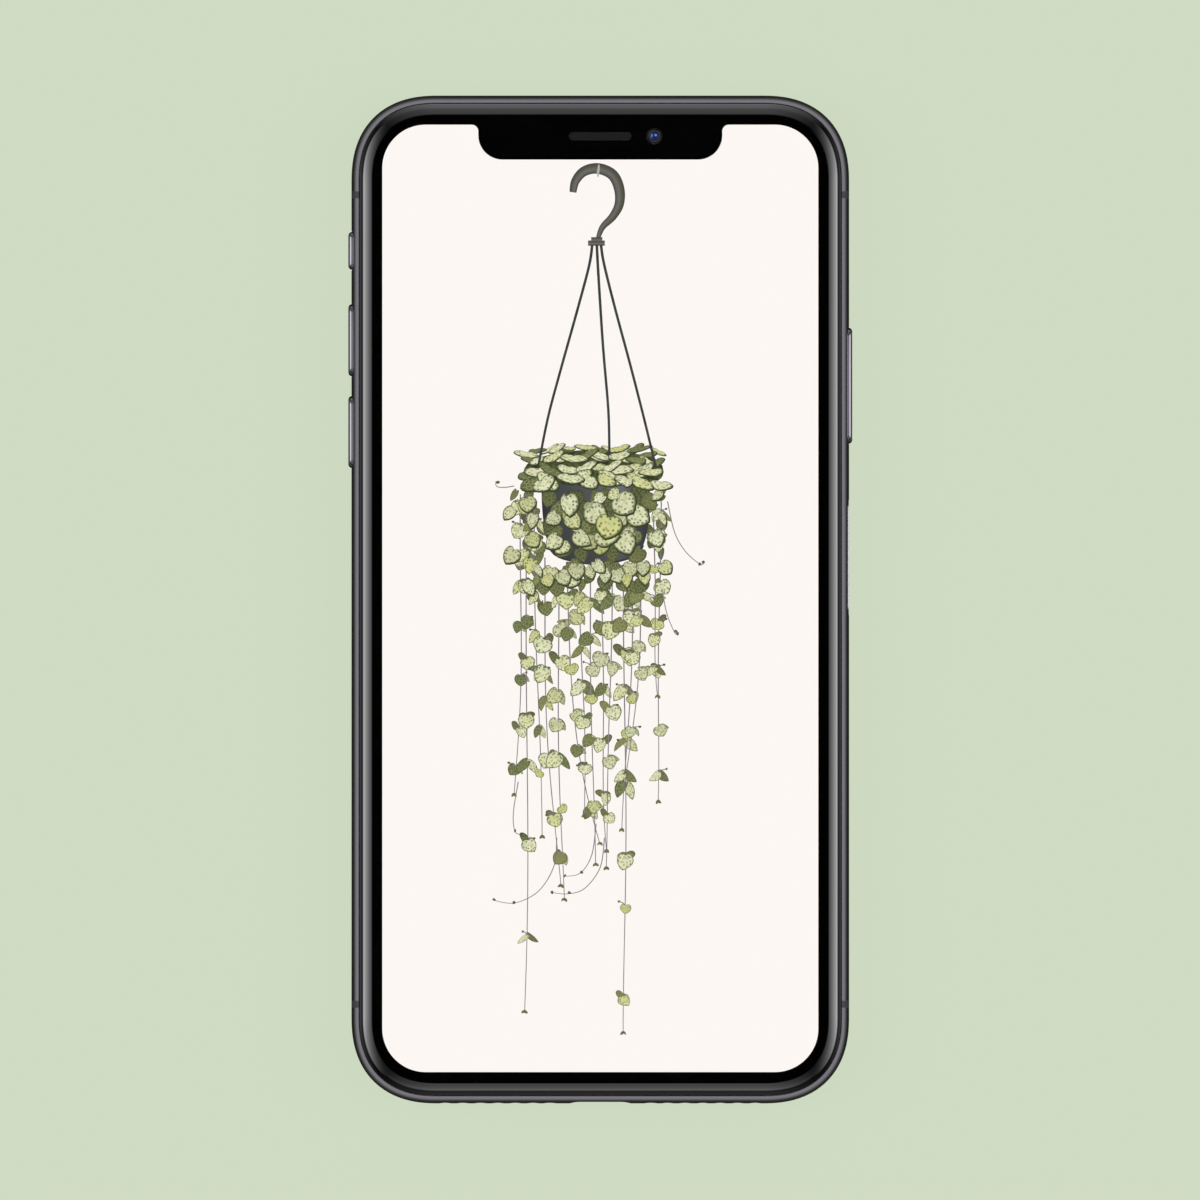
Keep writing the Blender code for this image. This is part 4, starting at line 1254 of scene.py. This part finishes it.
rim = [(-9.6, 16.8), (-11.0, 17.8), (-10.0, 19.7), (-6.5, 20.8), (-1.0, 21.4), (4.5, 20.9)]
rim += [(8.2, 19.9), (9.0, 18.0), (7.8, 16.8), (4.0, 16.4), (-1.0, 16.2), (-6.0, 16.4), (-9.6, 16.8)]
height = next_level([(x * mm, 0.0182, 0.0030) for x in range(-9, 9, 2)])
outline = curve_points(rim, 4)[:-1]
shape = flat_face([(point.x * mm, point.y * mm) for point in outline], height)
picture_piece("picture_shade", shape, crown_shade)
crown_row(15, 20.7, 1.2, (2.4, 3.6), (0.6, 1.1), 30, 0.45)
crown_row(13, 19.5, 1.3, (2.8, 4.0), (0.9, 1.4), 30, 0.25)
for points in (
    [(-1.15, 50.6), (-1.6, 47.6), (-3.3, 41.2), (-5.7, 32.6), (-7.5, 25.8), (-9.0, 18.2)],
    [(-0.5, 50.6), (-0.25, 46.0), (0.4, 36.0), (1.15, 27.0), (1.3, 20.6)],
    [(0.1, 50.6), (0.55, 47.8), (2.2, 41.2), (4.3, 33.4), (6.3, 25.6), (8.0, 18.6)],
):
    path = curve_points(points, 5)
    ribbon(wires, path, [0.40 - 0.05 * i / len(path) for i in range(len(path))])
picture_piece("picture_wires", wires, wire_dark)
crown_row(11, 18.2, 1.1, (3.2, 4.6), (1.2, 1.9), 32, 0.10)
crown_row(11, 16.9, 0.8, (3.2, 4.8), (1.5, 2.5), 40, 0.06)
for tendril in (
    [(-12.3, 16.2), (-13.6, 16.0), (-14.7, 16.1), (-14.9, 16.6), (-14.5, 16.7)],
    [(9.6, 14.0), (10.6, 9.6), (12.2, 6.8), (14.3, 5.0), (14.7, 5.3)],
    [(8.8, 1.5), (9.5, -2.0), (10.6, -4.7), (11.0, -4.9)],
    [(-0.6, -32.0), (-1.2, -36.4), (-2.8, -39.0), (-4.9, -39.5)],
    [(0.6, -34.0), (0.0, -38.2), (-2.2, -41.2), (-4.6, -42.0), (-6.9, -41.8)],
    [(-6.2, -34.0), (-6.6, -38.0), (-8.8, -41.6), (-12.2, -43.3), (-15.3, -42.9)],
    [(-11.7, -26.0), (-12.4, -30.4), (-12.2, -33.0), (-11.3, -33.6)],
):
    path = curve_points(tendril, 6)
    add_stem(path, 0.15)
    for point in (path[-1], path[-7]):
        add_leaf(point.x, point.y + 0.2, 0.6, chance.uniform(-90, 90), 0.7, 1.0, 1.0, 0.5)
picture_piece("picture_stems", stems, stem_finish)
picture_piece("picture_leaves", leaves, leaf_finish)


# The hook is moulded of grey-brown plastic, thickest round its bend, and its collar grips
# the wires. A small pale clip sits on top of it.
hook_grey = lit_finish("picture of a hook")
strip_uv = add(hook_grey, "ShaderNodeUVMap", uv_map="leaf").outputs["UV"]
across = add(hook_grey, "ShaderNodeSeparateXYZ", {"Vector": strip_uv}).outputs["Y"]
stops = [(0, (74, 72, 64)), (0.28, (90, 88, 78)), (0.6, (116, 116, 108)), (0.86, (92, 88, 92))]
sides = colour_run(hook_grey, across, stops + [(1, (66, 64, 66))])
worn = spread(hook_grey, grain(hook_grey, 900), 0.0, 0.3)
lit_blend(hook_grey, worn, sides, (60, 60, 48))
bend = [(-3.9, 58.1), (-3.55, 59.7), (-2.3, 61.1), (-0.3, 61.5), (1.75, 60.6), (2.7, 58.6)]
bend += [(2.7, 56.4), (1.75, 54.6), (0.3, 53.1), (-0.4, 51.3)]
path = curve_points(bend, 5)
shares = [min(1.0, 0.12 + 0.9 * i / (len(path) - 1)) for i in range(len(path))]
shape = bmesh.new()
ribbon(shape, path, [0.62 + 0.95 * math.sin(math.pi * share) for share in shares])
ribbon(shape, [(-1.75, 50.85), (0.65, 50.85)], [0.75, 0.75])
ribbon(shape, [(-1.3, 51.35), (0.3, 51.35)], [0.7, 0.7])
picture_piece("picture_hook", shape, hook_grey)
clip_pale = lit_patches("picture of a clip", 1500, (150, 148, 134), (206, 203, 190))
clip = [(-0.20, 62.05), (-0.24, 61.4), (-0.34, 60.9), (-0.32, 60.3)]
shape = bmesh.new()
ribbon(shape, clip, [0.22, 0.30, 0.38, 0.16])
picture_piece("picture_clip", shape, clip_pale)


# The notch hides the earpiece and the front sensors. The earpiece is closed by a fine woven
# mesh, and the camera looks out through a round hole in the black print.
earpiece = new_finish("earpiece mesh", (0.01, 0.01, 0.01), 0.6, Specular_IOR_Level=0.05)
crossing = reckon(earpiece, "MAXIMUM", *[stripes(earpiece, 2600.0, way) for way in ("X", "Y")])
relief(earpiece, crossing, 0.00002)
tint(earpiece, crossing, (0.002, 0.002, 0.002), (0.008, 0.008, 0.008))
dress(earpiece, "earpiece_mesh")

eye_x, eye_y = 0.0077, 0.0661
eye_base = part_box("front_camera")[1].z
eye_radius = 0.00072
blue_glass = grained(
    "front lens coating", (0.002, 0.005, 0.03), 0.12,
    fine=2000, shine=(0.08, 0.16), Specular_IOR_Level=0.12,
)


def glint(x, y, reach_x, reach_y):
    """A painted glint: a soft oval of the light an inner lens throws back, placed in metres from the
    lens's middle.
    """
    inputs = {"Vector": add(blue_glass, "ShaderNodeTexCoord").outputs["Object"]}
    inputs["Location"] = (eye_x + x, eye_y + y, eye_base)
    inputs["Scale"] = (reach_x, reach_y, 0.01)
    place = add(blue_glass, "ShaderNodeMapping", inputs, vector_type="TEXTURE").outputs["Vector"]
    away = reckon(blue_glass, "LENGTH", place, kind="ShaderNodeVectorMath", output="Value")
    return spread(blue_glass, away, 1.0, 0.0, 0.2, 1.0)


# Two painted glints, pale blue ovals on the deep blue lens, stand in for light thrown back by its
# inner lenses.
left_glint = glint(-0.00032, 0.00010, 0.00012, 0.00036)
glints = reckon(blue_glass, "MAXIMUM", left_glint, glint(0.00020, 0.00016, 0.00028, 0.00022))
tint(blue_glass, glints, (0.002, 0.006, 0.035), (0.09, 0.22, 0.48))
lens = [(0.0, 0.00001), (eye_radius, 0.00001)]
for angle in range(0, 90, 9):
    turn = math.radians(angle)
    lens.append((eye_radius * math.cos(turn), 0.00002 + 0.00019 * math.sin(turn)))
lens.append((0.0, 0.00021))
eye_ring = moulded("front lens ring", (0.005, 0.005, 0.005), 0.5, Specular_IOR_Level=0.06)
ring_profile = [(0.00082, 0.00001), (0.00108, 0.00001), (0.00108, 0.00014), (0.00100, 0.00018)]
ring_profile += [(0.00088, 0.00010), (0.00082, 0.00006), (0.00082, 0.00001)]
for name, profile, finish, slot in (
    ("front_lens", lens, blue_glass, "lens_glass"),
    ("front_lens_ring", ring_profile, eye_ring, "black_plastic"),
):
    raised = [(radius, eye_base + rise) for radius, rise in profile]
    make_piece(name, turned(bmesh.new(), (eye_x, eye_y), raised, 36), finish, "body")


# The cover is clear hardened glass with a slot for the earpiece, coated against glare. Its edge
# is ground round like the back's and printed black behind, and is a piece of its own.
clear_glass = new_finish("clear cover glass", (1, 1, 1), 0.0, Transmission_Weight=1.0, IOR=1.15)
printed_glass = grained(
    "cover glass over black print", (0.0008, 0.0008, 0.0008), 0.0,
    fine=300, detail=2.0, shine=(0.0, 0.015), IOR=1.5,
)
shape = glass_sheet(edge_only=True)
lift(shape, middle)
make_piece("cover_edge", shape, printed_glass, "body")
shape, face = phone_sheet(edge_round + seam, thickness - glass_rim)
draw_in(shape, face, 0.0, glass_rim)
close(shape)
cover = make_piece("cover_sheet", shape, clear_glass, "body")
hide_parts("cover_glass")
slot_half, slot_y, slot_wide = 0.0045, 0.0655, 0.0012
low, high = (-slot_half, slot_y, 0.006), (slot_half, slot_y + slot_wide, 0.009)
work(cover, rounded_block(bmesh.new(), low, high, 2, slot_wide / 2 - 0.000001, 10))
cover.visible_shadow = False


# The studio is a plain pale green floor under a soft dome of light. The dome is bright at the
# phone's two long sides, weaker at its ends, and dark overhead, so that flat glass stays black.
floor_tone = display_colour(204, 216, 192)
floor_seen = 0.965
floor_light = 0.72
floor_paint = 0.05
shade_start = 0.0034
shade_end = 0.0144
paint = tuple(c * floor_paint for c in floor_tone)
floor_green = new_finish("floor", paint, 0.9, Specular_IOR_Level=0.0)


def on_floor(how, *values, output=0):
    """One step of arithmetic with places on the floor."""
    return reckon(floor_green, how, *values, kind="ShaderNodeVectorMath", output=output)


# To every ray but the camera's the floor glows white, and the glow fades to black near the phone's
# outline: a painted shadow round the phone, seen in its reflections. To the camera the floor glows an
# even pale green.
folded = on_floor("ABSOLUTE", add(floor_green, "ShaderNodeTexCoord").outputs["Object"])
beyond = on_floor("SUBTRACT", folded, (half_width - corner_reach, half_height - corner_reach, 0))
reach = on_floor("LENGTH", on_floor("MAXIMUM", beyond, (0, 0, 0)), output="Value")
inputs = {"Value": reach, "To Min": 0.0, "To Max": floor_light}
inputs["From Min"] = corner_reach + shade_start
inputs["From Max"] = corner_reach + shade_end
# The painted shadow: no glow near the outline, full glow from shade_end beyond the corners' reach.
shade = add(floor_green, "ShaderNodeMapRange", inputs, interpolation_type="SMOOTHSTEP")
seen = add(floor_green, "ShaderNodeLightPath").outputs["Is Camera Ray"]
glow = {0: seen, 2: shade.outputs["Result"], 3: floor_seen}
feed(
    floor_green,
    Emission_Strength=add(floor_green, "ShaderNodeMix", glow).outputs[0],
    Emission_Color=blend_colours(floor_green, seen, (1.0, 1.0, 1.0), floor_tone),
)
shape = bmesh.new()
bmesh.ops.create_grid(shape, x_segments=1, y_segments=1, size=2.0)
floor = set_down("floor", shape)
floor.data.materials.append(floor_green)

dome = bpy.data.worlds.new("studio dome")
dome.use_nodes = True
sky = dome.node_tree.nodes["Background"]
sky.inputs["Color"].default_value = (1, 1, 1, 1)
way = {"Vector": add(dome, "ShaderNodeTexCoord").outputs["Generated"]}
way = add(dome, "ShaderNodeSeparateXYZ", way).outputs
across, along = reckon(dome, "ABSOLUTE", way["X"]), reckon(dome, "ABSOLUTE", way["Y"])
overhead = reckon(dome, "ARCCOSINE", way["Z"])
overhead = reckon(dome, "DIVIDE", overhead, math.radians(90))


def strip_light(stops, off_axis, width, falloff):
    """Light that follows stops of (degrees from overhead, strength) within a width of its middle."""
    ramp = add(dome, "ShaderNodeFloatCurve", {"Value": overhead})
    curve = ramp.mapping.curves[0]
    curve.points[0].location = (0, stops[0][1] / 10)
    curve.points[1].location = (1, stops[-1][1] / 10)
    for degrees, strength in stops[1:-1]:
        curve.points.new(degrees / 90, strength / 10)
    for point in curve.points:
        point.handle_type = "VECTOR"
    ramp.mapping.update()
    within = reckon(dome, "SUBTRACT", 1.0, reckon(dome, "DIVIDE", off_axis, math.radians(width)))
    fade = reckon(dome, "POWER", reckon(dome, "MAXIMUM", within, 0.0), falloff)
    strength = reckon(dome, "MULTIPLY", ramp.outputs["Value"], 10.0)
    return reckon(dome, "MULTIPLY", strength, fade)


stops = [(0, 0), (2.5, 0.5), (5, 1.5), (10, 2.1), (15, 2.4), (22, 3.1), (30, 4.1), (37, 5.2)]
stops += [(45, 6.3), (52, 7.5), (59, 9.8), (64, 8.4), (66.5, 3.0), (69, 0.3), (80, 0.6), (90, 1.3)]
side_light = strip_light(stops, reckon(dome, "ARCTAN2", along, across), 52, 1.5)
stops = [(0, 0), (11, 0.0), (14, 0.9), (22, 1.15), (52, 1.4), (60, 2.0), (66, 2.4), (79, 2.2)]
from_head = reckon(dome, "ARCTAN2", across, way["Y"])
head_light = strip_light(stops + [(85, 2.8), (90, 2.8)], from_head, 50, 1.2)
stops = [(0, 0), (3, 0.0), (5, 1.0), (8, 1.4), (23, 1.4), (32, 1.65), (42, 1.95), (52, 2.8)]
stops += [(58, 0.85), (64, 0.28), (72, 0.44), (90, 0.5)]
foot_light = strip_light(stops, reckon(dome, "SUBTRACT", math.pi, from_head), 50, 1.2)
end_light = reckon(dome, "ADD", head_light, foot_light)
wire(dome, reckon(dome, "ADD", side_light, end_light), sky.inputs["Strength"])
bpy.context.scene.world = dome

camera = bpy.data.cameras.new("camera")
camera.type = "ORTHO"
camera.ortho_scale = 0.17122
holder = bpy.data.objects.new("camera", camera)
holder.location = (-0.00004, -0.00007, 0.6)
bpy.context.scene.collection.objects.link(holder)
bpy.context.scene.camera = holder
bpy.context.scene.view_settings.view_transform = "Standard"
